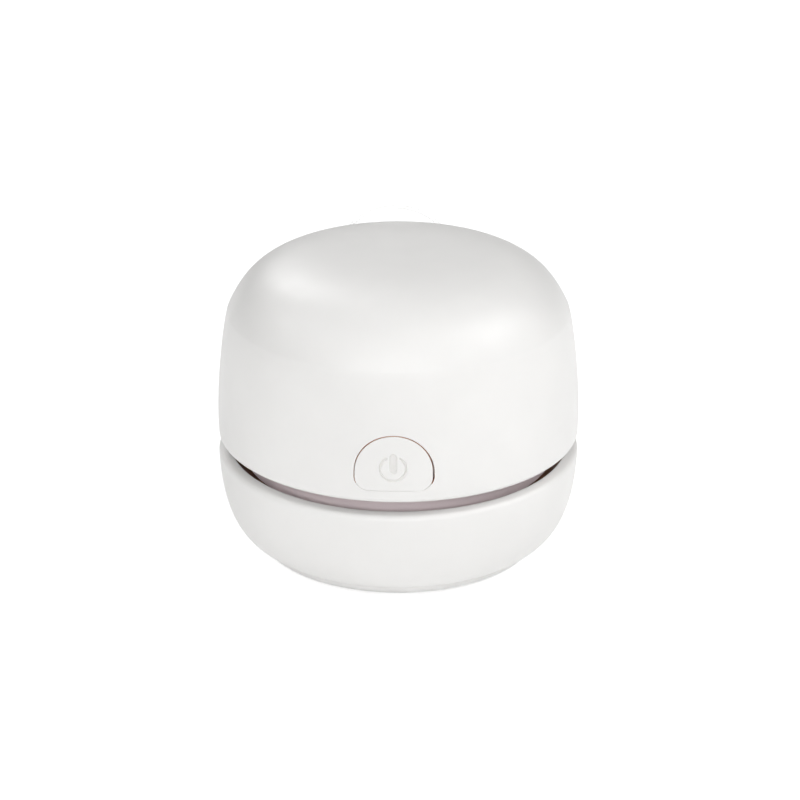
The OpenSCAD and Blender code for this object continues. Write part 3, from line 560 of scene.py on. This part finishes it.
# ---------------------------------------------------------------- pieces of the dome
def shell_part():
    """The dome: an outer and an inner skin, joined at the rim and by the walls of the holes."""
    outer, inner = dome_lines()
    button_hole = side_hole(button_arcs(), -1)
    facing = np.degrees(np.arctan2(button_hole["normals"][:, 1], button_hole["normals"][:, 0])) % 360
    gaps = np.interp(facing, np.linspace(0, 360, len(BUTTON_GAPS)), BUTTON_GAPS)
    button_hole["points"] = button_hole["points"] + gaps[:, None] * button_hole["normals"]
    socket_hole = side_hole(grown(slot_arcs(SOCKET_W, SOCKET_H, SOCKET_Z), SOCKET_GAP), 1)
    holes = [button_hole, socket_hole, *loop_holes(outer)]
    outside = skin(outer, holes, HOLE_EDGE_R)
    within = skin(inner, holes, 0)
    walls = [band(a, b) for a, b in zip(outside[2], within[2])]
    return joined([outside[:2], within[:2], *walls])


def band_part():
    """The shoulder ring of the neck, whose side shows in the slot."""
    sunk_r = NECK_R - BAND_SUNK
    return revolve(rounded([
        (sunk_r, BAND_LOW, 0), (BAND_R, BAND_LOW, BAND_EDGE_R),
        (BAND_R, BAND_TOP, BAND_EDGE_R), (sunk_r, BAND_TOP, 0),
    ]))


def symbol_depth(x, z):
    """How deep the power symbol is cut at a place on the button: an open ring round a bar."""
    x, dz = x - SYMBOL_X, z - SYMBOL_Z
    angle = np.abs(np.arctan2(x, dz))
    end = (SYMBOL_R * math.sin(SYMBOL_OPEN), SYMBOL_R * math.cos(SYMBOL_OPEN))
    along = np.abs(np.hypot(x, dz) - SYMBOL_R)
    past = np.hypot(np.abs(x) - end[0], dz - end[1])
    ring = np.where(angle > SYMBOL_OPEN, along, past) - SYMBOL_BAND / 2
    bar = np.hypot(x, z - np.clip(z, *SYMBOL_BAR)) - SYMBOL_BAR_W / 2
    t = np.clip(0.5 - np.minimum(ring, bar) / SYMBOL_SOFT, 0, 1)
    return SYMBOL_DEPTH * t * t * (3 - 2 * t)


def button_spots(hole):
    """Where the button's face has points within its edge: a grid, finer about the symbol."""
    pitch = 0.16
    fine_pitch = 0.075
    fine_r = SYMBOL_R + 1
    between = 0.05
    from_edge = BUTTON_EDGE_R + 0.12
    keep = hole["points"] - from_edge * hole["normals"]
    x, z = np.meshgrid(
        np.arange(BUTTON_X - BUTTON_W / 2, BUTTON_X + BUTTON_W / 2, pitch),
        np.arange(BUTTON_LOW, BUTTON_LOW + BUTTON_H, pitch),
    )
    spots = np.column_stack([x.ravel(), z.ravel()])
    near = np.hypot(spots[:, 0] - SYMBOL_X, spots[:, 1] - SYMBOL_Z) < fine_r
    x, z = np.meshgrid(*2 * [np.arange(-fine_r, fine_r, fine_pitch)])
    within = np.hypot(x, z) < fine_r - between
    fine = np.column_stack([x[within] + SYMBOL_X, z[within] + SYMBOL_Z])
    return np.vstack([spots[inside(spots, keep) & ~near], fine])


def button_part():
    """The button's face follows the dome, with a rounded edge, the symbol, a flange and a stem."""
    line = dome_lines()[0]
    hole = side_hole(button_arcs(), -1)
    rings = [
        hole_ring(hole, line, FLANGE_OVER, FLANGE_BACK),
        hole_ring(hole, line, FLANGE_OVER, FLANGE_FRONT),
        hole_ring(hole, line, 0, FLANGE_FRONT),
    ]
    edge_steps = 6
    for k in range(edge_steps + 1):
        a = math.pi / 2 * k / edge_steps
        offset = -BUTTON_EDGE_R * (1 - math.cos(a))
        rings.append(hole_ring(hole, line, offset, BUTTON_EDGE_R * (1 - math.sin(a))))
    parts = [band(a, b) for a, b in zip(rings, rings[1:])]
    edge = hole["points"] - BUTTON_EDGE_R * hole["normals"]
    loop = [(k, (k + 1) % len(edge)) for k in range(len(edge))]
    spots = np.vstack([edge, button_spots(hole)])
    made = delaunay_2d_cdt([Vector(s) for s in spots], loop, [], 1, 1e-7)
    places = np.array([[v.x, v.y] for v in made[0]])
    base = np.column_stack([places[:, 0], 0 * places[:, 0], places[:, 1]])
    face = strike(line, base, hole["way"], *hole["reach"])
    face[:, Y] += symbol_depth(places[:, 0], places[:, 1])
    parts.append((face, [tuple(f) for f in made[2]]))
    back = rings[0]
    middle = back.mean(axis=0)
    n = len(back)
    parts.append((np.vstack([back, [middle]]), [(k, (k + 1) % n, n) for k in range(n)]))
    stem = revolve(rounded([
        (0, -STEM_ROOT, 0), (STEM_R, -STEM_ROOT, 0), (STEM_R, STEM_L, 0.2), (0, STEM_L, 0)
    ]), False, 48)
    parts.append(turned(stem, (-90, 0, 0), (0, middle[Y], SWITCH_Z)))
    return joined(parts)


def loop_part():
    """A round bar with a bead at each foot that holds it in the dome."""
    path = loop_path()
    bead_edge_r = 0.25
    bar = sweep(path, [LOOP_D / 2] * len(path), 20)
    bead = rounded([
        (0, 0, 0), (LOOP_D, 0, bead_edge_r), (LOOP_D, LOOP_BEAD_H, bead_edge_r), (0, LOOP_BEAD_H, 0)
    ])
    beads = [
        turned(revolve(bead, False, 32), move=(path[k, X], LOOP_Y, LOOP_LOW)) for k in (0, -1)
    ]
    return joined([bar, *beads])


def socket_shell_part():
    """The socket's drawn steel shell: a round-ended tube with a rolled mouth."""
    pitch = 0.2
    lip = 0.12
    floor_t = 1
    points, normals = outline(slot_arcs(SOCKET_W, SOCKET_H, SOCKET_Z), pitch)
    steps = [
        (0, SOCKET_FRONT), (0, SOCKET_Y - lip), (-lip, SOCKET_Y), (lip - SOCKET_WALL, SOCKET_Y),
        (-SOCKET_WALL, SOCKET_Y - lip), (-SOCKET_WALL, SOCKET_FRONT + floor_t),
    ]
    rings = []
    for offset, y in steps:
        flat = points + offset * normals
        rings.append(np.column_stack([-flat[:, 0], 0 * flat[:, 0] + y, flat[:, 1]]))
    parts = [band(a, b) for a, b in zip(rings, rings[1:])]
    for ring in (rings[0], rings[-1]):
        parts.append((ring, [tuple(range(len(ring)))]))
    return joined(parts)


def socket_tongue_part():
    root = SOCKET_FRONT + 1
    pitch = 0.12
    points = outline(slot_arcs(TONGUE_W, TONGUE_T, SOCKET_Z), pitch)[0]
    return turned(prism(points, TONGUE_TIP - root), move=(0, (TONGUE_TIP + root) / 2, 0))


def socket_contacts_part():
    """Two rows of flat contacts, half sunk in the tongue's faces."""
    count = 12
    pitch = 0.5
    half_w = 0.15
    half_t = 0.06
    length = 3.2
    behind_tip = 0.3
    contact = prism([(-half_w, -half_t), (half_w, -half_t), (half_w, half_t), (-half_w, half_t)], length)
    middle = TONGUE_TIP - behind_tip - length / 2
    return joined([
        turned(contact, move=((i - (count - 1) / 2) * pitch, middle, SOCKET_Z + side * TONGUE_T / 2))
        for side in (-1, 1) for i in range(count)
    ])


# ---------------------------------------------------------------- pieces of the cup
def cup_line():
    """The cup's outer line from its foot to where the lip's edge begins."""
    return bezier([
        (FOOT_R, SPLIT), (FOOT_R + FOOT_PULL[0], SPLIT + FOOT_PULL[1]),
        (BODY_R - LIP_PULL[0], LIP - LIP_PULL[1]), (BODY_R, LIP - LIP_FALL - LIP_EDGE_R),
    ], 40)


def cup_rib():
    """The flat outline of a rib, from the floor up the wall to the collar."""
    sunk = 0.5
    top_edge_r = 0.6
    back = inset(cup_line(), CUP_WALL / 2)
    edge = [p for p in back if FLOOR - sunk < p[1] < RIB_TOP and p[0] > RIB_IN + 1]
    return rounded([
        (RIB_IN, FLOOR - sunk, 0), *[(*p, 0) for p in edge],
        (edge[-1][0], RIB_TOP, 0), (RIB_IN, RIB_TOP, top_edge_r),
    ])


def cup_part():
    """A bowl with a chimney in its floor, and ribs on its wall that carry the collar."""
    floor_fillet = 1.2
    inlet_edge_r = 0.5
    fine_edge_r = 0.2
    foot_edge_r = 0.3
    lip_rise = 0.8
    line = cup_line()
    lip_in = BODY_R - LIP_W
    wall = inset(line, CUP_WALL)
    # The bowl's points keep away from the floor and the lip, so that the arcs there have room
    bowl = [p for p in wall if p[1] > FLOOR + 1.6 and p[0] < lip_in - 0.05]
    floor_r = float(np.interp(FLOOR, wall[:, 1], wall[:, 0])) - floor_fillet / 2
    ledge_r = FOOT_R - FOOT_LEDGE
    corners = [(*line[0], foot_edge_r)]
    corners += [(*p, 0) for p in line[2:-1]]
    corners += [
        (BODY_R, LIP - LIP_FALL, LIP_EDGE_R), (lip_in, LIP, LIP_IN_EDGE_R),
        (lip_in, bowl[-1][1] + lip_rise, LIP_IN_EDGE_R),
    ]
    corners += [(*p, 0) for p in reversed(bowl)]
    corners += [
        (floor_r, FLOOR, floor_fillet), (CHIMNEY_R, FLOOR, inlet_edge_r),
        (CHIMNEY_R, INLET_TOP, inlet_edge_r), (INLET_R, INLET_TOP, inlet_edge_r),
        (INLET_R, FLOOR - FLOOR_T, fine_edge_r), (ledge_r, FLOOR - FLOOR_T, fine_edge_r),
        (ledge_r, SPLIT, fine_edge_r),
    ]
    parts = [revolve(rounded(corners, 6))]
    for i in range(CUP_RIBS):
        parts.append(turned(prism(cup_rib(), RIB_T), (0, 0, (i + 0.5) * 360 / CUP_RIBS)))
    return joined(parts)


def brush_part():
    """A moulded backing ring with rows of fine bristles, each leaning a little its own way."""
    backing_t = 1.4
    width = 2.8
    edge_r = 0.2
    rows = 5
    rows_w = 2.0
    strands = 170
    strand_d = 0.24
    sunk = 0.2
    most_lean = 0.16
    most_short = 0.25
    root = BRUSH_TOP - backing_t
    half = width / 2
    backing = revolve(rounded([
        (BRUSH_R - half, root, edge_r), (BRUSH_R + half, root, edge_r),
        (BRUSH_R + half, BRUSH_TOP, edge_r), (BRUSH_R - half, BRUSH_TOP, edge_r),
    ], 3), True, 144)
    parts = [backing]
    pitch = rows_w / (rows - 1)
    length = root + sunk - BRISTLE_TIP
    chance = np.random.default_rng(7)
    for row in range(rows):
        radius = BRUSH_R + (row - (rows - 1) / 2) * pitch
        for i in range(strands):
            a = (i + row / 2) * 2 * math.pi / strands
            lean = chance.uniform(-most_lean, most_lean, 2)
            short = chance.uniform(0, most_short)
            foot = np.array([radius * math.cos(a), radius * math.sin(a), root + sunk])
            tip = foot + np.array([lean[0], lean[1], short - length])
            path = [foot, foot * 0.5 + tip * 0.5, tip]
            parts.append(sweep(path, [strand_d / 2, strand_d / 2, strand_d / 3], 5))
    return joined(parts)


# ---------------------------------------------------------------- materials
class Nodes:
    """A material's nodes, with short calls for those that the finishes share."""

    # Nearly all of a noise's values lie between these
    LOW, HIGH = 0.3, 0.7

    def __init__(self, name):
        self.material = bpy.data.materials.new(name)
        self.material.use_nodes = True
        self.tree = self.material.node_tree
        self.shader = self.tree.nodes["Principled BSDF"]
        self.place = self.add("ShaderNodeTexCoord").outputs["Object"]

    def add(self, kind, **values):
        node = self.tree.nodes.new(kind)
        for key, value in values.items():
            setattr(node, key, value)
        return node

    def link(self, source, target):
        self.tree.links.new(source, target)

    def stretched(self, scale):
        node = self.add("ShaderNodeMapping")
        node.inputs["Scale"].default_value = scale
        self.link(self.place, node.inputs["Vector"])
        return node.outputs["Vector"]

    def noise(self, scale, detail=2.0, place=None):
        node = self.add("ShaderNodeTexNoise")
        node.inputs["Scale"].default_value = scale
        node.inputs["Detail"].default_value = detail
        self.link(place or self.place, node.inputs["Vector"])
        return node.outputs["Fac"]

    def spread(self, value, start, end):
        """A noise stretched to run from start to end."""
        node = self.add("ShaderNodeMapRange")
        limits = {"From Min": self.LOW, "From Max": self.HIGH, "To Min": start, "To Max": end}
        for key, number in limits.items():
            node.inputs[key].default_value = number
        self.link(value, node.inputs["Value"])
        return node.outputs["Result"]

    def mixed(self, value, first, second):
        node = self.add("ShaderNodeMix", data_type="RGBA")
        node.inputs["A"].default_value = (*first, 1)
        node.inputs["B"].default_value = (*second, 1)
        self.link(value, node.inputs["Factor"])
        return node.outputs["Result"]

    def bump(self, height, distance):
        """Relief of the given distance in millimetres."""
        node = self.add("ShaderNodeBump")
        node.inputs["Strength"].default_value = 1.0
        node.inputs["Distance"].default_value = distance * MM
        self.link(height, node.inputs["Height"])
        self.link(node.outputs["Normal"], self.shader.inputs["Normal"])

    def set(self, **values):
        for key, value in values.items():
            self.shader.inputs[key.replace("_", " ")].default_value = value


def tone(colour, factor):
    return tuple(min(1.0, c * factor) for c in colour)


def moulded(name, colour, rough, grain=0.004, vary=0.015, grain_mm=0.12):
    """Moulded plastic or rubber: faint flow variation, uneven gloss and a fine eroded grain."""
    n = Nodes(name)
    cloud = n.noise(55, 3)
    n.link(n.mixed(n.spread(cloud, 0, 1), tone(colour, 1 - vary), tone(colour, 1 + vary)),
           n.shader.inputs["Base Color"])
    n.link(n.spread(n.noise(260, 3), rough - 0.04, rough + 0.04), n.shader.inputs["Roughness"])
    n.bump(n.noise(1 / (grain_mm * MM), 2), grain)
    return n.material


def metal(name, colour, rough, brush=(1, 1, 1)):
    """Plated or ground metal, with fine lines along the axis whose share in brush is smallest."""
    n = Nodes(name)
    lines = n.noise(900, 3, n.stretched(brush))
    n.link(n.mixed(n.spread(lines, 0, 1), tone(colour, 0.93), tone(colour, 1.05)),
           n.shader.inputs["Base Color"])
    n.link(n.spread(lines, rough - 0.07, rough + 0.08), n.shader.inputs["Roughness"])
    n.bump(lines, 0.002)
    n.set(Metallic=1.0)
    return n.material


def banded(name, colour, rough, axis, pitch, depth):
    """Metal with even fine bands across one axis, as wound wire or stacked sheets have."""
    n = Nodes(name)
    wave = n.add("ShaderNodeTexWave", wave_type="BANDS", bands_direction=axis)
    wave.inputs["Scale"].default_value = math.pi / (10 * pitch * MM)
    wave.inputs["Distortion"].default_value = 0.4
    n.link(n.place, wave.inputs["Vector"])
    n.link(n.mixed(wave.outputs["Fac"], tone(colour, 0.88), tone(colour, 1.12)),
           n.shader.inputs["Base Color"])
    n.link(n.spread(n.noise(400), rough - 0.05, rough + 0.05), n.shader.inputs["Roughness"])
    n.bump(wave.outputs["Fac"], depth)
    n.set(Metallic=1.0)
    return n.material


def fibrous(name, colour, depth):
    """Felted paper of long soft fibres."""
    n = Nodes(name)
    fibres = n.noise(900, 5, n.stretched((0.35, 1, 1)))
    n.link(n.mixed(n.spread(fibres, 0, 1), tone(colour, 0.9), tone(colour, 1.04)),
           n.shader.inputs["Base Color"])
    n.bump(fibres, depth)
    n.set(Roughness=0.9)
    return n.material


def board(name, colour):
    """Solder mask over copper tracks."""
    n = Nodes(name)
    bricks = n.add("ShaderNodeTexBrick")
    bricks.inputs["Scale"].default_value = 260
    bricks.inputs["Mortar Size"].default_value = 0.06
    n.link(n.place, bricks.inputs["Vector"])
    n.link(n.mixed(bricks.outputs["Fac"], colour, tone(colour, 1.7)), n.shader.inputs["Base Color"])
    n.bump(bricks.outputs["Fac"], 0.03)
    n.set(Roughness=0.32)
    return n.material


def clear(name, colour):
    """Clear soft plastic, a little milky."""
    n = Nodes(name)
    cloud = n.noise(300, 2)
    n.link(n.mixed(n.spread(cloud, 0, 1), tone(colour, 0.98), colour), n.shader.inputs["Base Color"])
    n.link(n.spread(cloud, 0.16, 0.24), n.shader.inputs["Roughness"])
    n.bump(n.noise(2500), 0.003)
    n.set(Transmission_Weight=0.85, IOR=1.46)
    return n.material


WHITE = (0.91, 0.903, 0.888)
shell_white = moulded("shell_white", WHITE, 0.42)
button_white = moulded("button_white", WHITE, 0.42)
cup_white = moulded("cup_white", WHITE, 0.42)
# Painted shade: the warm brown shade deep in the gap round the button, painted on the gap's walls
gap_painted_shade = moulded("gap_painted_shade", (0.72, 0.42, 0.27), 0.5)
# Painted shade: a darker grey in the power symbol's groove, where shade falls
sign_painted_shade = moulded("sign_painted_shade", (0.855, 0.845, 0.825), 0.5)
base_white = moulded("base_white", (0.9, 0.893, 0.88), 0.42)
loop_clear = clear("loop_clear", (0.97, 0.97, 0.965))
neck_mauve = moulded("neck_mauve", (0.94, 0.82, 0.84), 0.5, grain=0.008)
collar_dark = moulded("collar_dark", (0.3, 0.15, 0.09), 0.5, grain=0.01)
seal_rubber = moulded("seal_rubber", (0.03, 0.027, 0.025), 0.62, grain=0.01)
foot_rubber = moulded("foot_rubber", (0.34, 0.33, 0.32), 0.7, grain=0.012)
gasket_foam = moulded("gasket_foam", (0.075, 0.07, 0.068), 0.9, grain=0.08, vary=0.12, grain_mm=0.35)
filter_plastic = moulded("filter_plastic", (0.58, 0.56, 0.53), 0.45)
filter_paper = fibrous("filter_paper", (0.8, 0.78, 0.7), 0.05)
inner_plastic = moulded("inner_plastic", (0.7, 0.69, 0.66), 0.5)
bell_plastic = moulded("bell_plastic", (0.78, 0.75, 0.68), 0.45)
impeller_plastic = moulded("impeller_plastic", (0.72, 0.71, 0.68), 0.42)
bristle_grey = moulded("bristle_grey", (0.085, 0.085, 0.09), 0.45, vary=0.15)
switch_black = moulded("switch_black", (0.03, 0.032, 0.036), 0.4)
tongue_black = moulded("tongue_black", (0.015, 0.015, 0.016), 0.45)
chip_black = moulded("chip_black", (0.02, 0.02, 0.022), 0.55, grain=0.01)
board_green = board("board_green", (0.03, 0.14, 0.06))
screw_steel = metal("screw_steel", (0.52, 0.52, 0.54), 0.36)
socket_steel = metal("socket_steel", (0.62, 0.62, 0.64), 0.28, (1, 0.15, 1))
shaft_steel = metal("shaft_steel", (0.62, 0.63, 0.65), 0.22, (1, 1, 0.1))
motor_steel = metal("motor_steel", (0.55, 0.56, 0.58), 0.38, (1, 1, 0.15))
magnet_iron = metal("magnet_iron", (0.09, 0.09, 0.095), 0.6)
bush_bronze = metal("bush_bronze", (0.45, 0.3, 0.12), 0.48)
terminal_brass = metal("terminal_brass", (0.62, 0.44, 0.17), 0.3, (1, 1, 0.2))
contact_gold = metal("contact_gold", (0.8, 0.6, 0.25), 0.25, (1, 0.1, 1))
contact_nickel = metal("contact_nickel", (0.62, 0.6, 0.56), 0.26, (1, 0.2, 1))
armature_iron = banded("armature_iron", (0.26, 0.26, 0.27), 0.45, "Z", 0.5, 0.05)
coil_copper = banded("coil_copper", (0.52, 0.2, 0.08), 0.3, "X", 0.25, 0.1)
cell_wrap = moulded("cell_wrap", (0.05, 0.2, 0.4), 0.24, vary=0.04)

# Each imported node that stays, with its finish
FINISHES = {
    "switch_plunger": switch_black, "push_switch": switch_black, "control_board": board_green,
    "board_components": chip_black, "charge_board": board_green, "board_screws": screw_steel,
    "battery_cell": cell_wrap, "battery_holder": inner_plastic, "battery_contacts": contact_nickel,
    "motor_deck": inner_plastic, "neck_housing": neck_mauve, "neck_o_ring": seal_rubber,
    "neck_screws": screw_steel, "shell_screws": screw_steel, "motor_can": motor_steel,
    "motor_magnets": magnet_iron, "motor_bushes": bush_bronze, "motor_end_bell": bell_plastic,
    "motor_terminals": terminal_brass, "motor_screws": screw_steel, "motor_shaft": shaft_steel,
    "armature": armature_iron, "armature_coils": coil_copper, "commutator": coil_copper,
    "impeller": impeller_plastic, "filter_frame": filter_plastic, "filter_pleats": filter_paper,
    "filter_gasket": gasket_foam, "cup_collar": collar_dark, "base_plate": base_white,
    "base_screws": screw_steel, "glide_feet": foot_rubber,
}
for node, finish in FINISHES.items():
    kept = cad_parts[node]
    kept.data.materials.clear()
    kept.data.materials.append(finish)


def in_hole_painted_shade(at, way):
    """A wall of the button's hole in the dome, apart from its lowest part: where the gap's shade is painted
    on as warm brown.
    """
    beside = at.y < 0 and abs(at.x) < BUTTON_W / 2 + 1
    return beside and abs(way.y) < 0.5 and PAINTED_SHADE_FROM < at.z - BUTTON_LOW < BUTTON_H + 1


def in_button_painted_shade(at, way):
    """A side wall of the button, apart from its lowest part and the sign's walls: where the gap's shade is
    painted on as warm brown.
    """
    off_sign = math.hypot(at.x - SYMBOL_X, at.z - SYMBOL_Z) > SYMBOL_R + 1
    return off_sign and abs(way.y) < 0.3 and at.z > BUTTON_LOW + PAINTED_SHADE_FROM


# Faces in the groove of the power symbol, which take its painted shade
def in_sign_painted_shade(at, way):
    return way.y < -0.3 and symbol_depth(at.x, at.z) > SYMBOL_DEPTH / 2


dome = piece("dome_shell", shell_part(), shell_white, "main_body", ["top_shell"])
# Painted shade in warm brown on the walls of the button's hole
tint(dome, gap_painted_shade, in_hole_painted_shade)
cap = piece("button_cap", button_part(), button_white, "button", ["power_button"], sharp=70)
# Painted shade in warm brown on the button's side walls, inside the gap
tint(cap, gap_painted_shade, in_button_painted_shade)
# Painted shade in the groove of the power symbol
tint(cap, sign_painted_shade, in_sign_painted_shade)
piece("neck_band", band_part(), neck_mauve, "main_body")
piece("cord_loop", loop_part(), loop_clear, "main_body", ["hang_loop"])
piece("socket_shell", socket_shell_part(), socket_steel, "main_body", ["usb_socket"])
piece("socket_tongue", socket_tongue_part(), tongue_black, "main_body")
piece("socket_contacts", socket_contacts_part(), contact_gold, "main_body")
piece("cup_bowl", cup_part(), cup_white, "cup", ["dust_cup"])
piece("bristles", brush_part(), bristle_grey, "cup", ["brush_ring"])


# ---------------------------------------------------------------- floor, light and camera
def by_ray(tree, target, other, seen, *kinds):
    """Gives an input the value seen for rays of the named kinds, and other for all other rays."""
    path = tree.nodes.new("ShaderNodeLightPath")
    total = path.outputs[f"Is {kinds[0]} Ray"]
    for kind in kinds[1:]:
        most = tree.nodes.new("ShaderNodeMath")
        most.operation = "MAXIMUM"
        tree.links.new(total, most.inputs[0])
        tree.links.new(path.outputs[f"Is {kind} Ray"], most.inputs[1])
        total = most.outputs[0]
    level = tree.nodes.new("ShaderNodeMix")
    level.inputs["A"].default_value = other
    level.inputs["B"].default_value = seen
    tree.links.new(total, level.inputs["Factor"])
    tree.links.new(level.outputs["Result"], target)


def make_floor():
    """A white ground. Its far part, which the lamps hardly reach, is white where it is seen."""
    near, far = 0.8, 3.0
    corners = ((-1, -1), (1, -1), (1, 1), (-1, 1))
    verts = [(half * x, half * y, 0) for half in (near, far) for x, y in corners]
    faces = [(0, 1, 2, 3)] + [(k, 4 + k, 4 + (k + 1) % 4, (k + 1) % 4) for k in range(4)]
    mesh = bpy.data.meshes.new("floor")
    mesh.from_pydata(verts, [], faces)
    floor = bpy.data.objects.new("floor", mesh)
    bpy.context.scene.collection.objects.link(floor)
    for name, seen in (("floor_near", 0.58), ("floor_far", 1.0)):
        material = bpy.data.materials.new(name)
        material.use_nodes = True
        tree = material.node_tree
        shader = tree.nodes["Principled BSDF"]
        shader.inputs["Base Color"].default_value = (0.9, 0.9, 0.9, 1)
        shader.inputs["Roughness"].default_value = 0.9
        shader.inputs["Specular IOR Level"].default_value = 0.0
        shader.inputs["Emission Color"].default_value = (1, 1, 1, 1)
        by_ray(tree, shader.inputs["Emission Strength"], 0.0, seen, "Camera", "Glossy", "Transmission")
        mesh.materials.append(material)
    for face in list(mesh.polygons)[1:]:
        face.material_index = 1


def make_world():
    """White to the camera and through the clear loop, and nearly no light on the object."""
    world = bpy.data.worlds.new("studio")
    bpy.context.scene.world = world
    world.use_nodes = True
    tree = world.node_tree
    background = tree.nodes["Background"]
    background.inputs["Color"].default_value = (1, 1, 1, 1)
    by_ray(tree, background.inputs["Strength"], 0.01, 1.0, "Camera", "Transmission")


def make_light(name, azimuth, elevation, distance, width, height, power):
    """A soft box that looks at the part. Azimuth 0 stands in front and 90 to the right."""
    data = bpy.data.lights.new(name, "AREA")
    data.shape = "RECTANGLE"
    data.size, data.size_y = width, height
    data.energy = power
    lamp = bpy.data.objects.new(name, data)
    a, e = math.radians(azimuth), math.radians(elevation)
    away = Vector((math.sin(a) * math.cos(e), -math.cos(a) * math.cos(e), math.sin(e)))
    lamp.location = Vector((0, 0, 0.04)) + distance * away
    lamp.rotation_euler = (-away).to_track_quat("-Z", "Y").to_euler()
    bpy.context.scene.collection.objects.link(lamp)


def make_camera():
    azimuth, elevation = math.radians(1.33), math.radians(23.08)
    distance = 0.6
    aim_z = 36.8 * MM
    sensor = 36.0
    # In pixels of the frame
    image = 800
    focal = 2577.0
    middle_x, middle_y = 398.44, 391.23
    data = bpy.data.cameras.new("camera")
    data.sensor_width = sensor
    data.lens = focal / image * sensor
    data.shift_x = (image / 2 - middle_x) / image
    data.shift_y = (middle_y - image / 2) / image
    data.clip_start, data.clip_end = 0.01, 20
    camera = bpy.data.objects.new("camera", data)
    back = Vector((
        math.sin(azimuth) * math.cos(elevation),
        -math.cos(azimuth) * math.cos(elevation),
        math.sin(elevation),
    ))
    camera.location = Vector((0, 0, aim_z)) + distance * back
    camera.rotation_euler = (-back).to_track_quat("-Z", "Y").to_euler()
    bpy.context.scene.collection.objects.link(camera)
    bpy.context.scene.camera = camera


make_floor()
make_world()
# Name, azimuth, elevation, distance, width, height and power
make_light("front", -5, 21, 1.0, 1.3, 0.3, 4.95)
make_light("front_high", -5, 42, 1.0, 1.6, 0.3, 1.5)
make_light("right", 95, 25, 0.9, 0.6, 0.6, 0.92)
make_light("right_high", 80, 45, 0.9, 0.6, 0.4, 3.45)
make_light("left_high", -85, 42, 0.9, 0.6, 0.4, 1.68)
make_light("top", 0, 85, 0.9, 0.9, 0.9, 0.6)
make_light("back_left", -155, 37, 0.9, 0.3, 0.3, 1.7)
make_camera()
bpy.context.scene.view_settings.view_transform = "Standard"
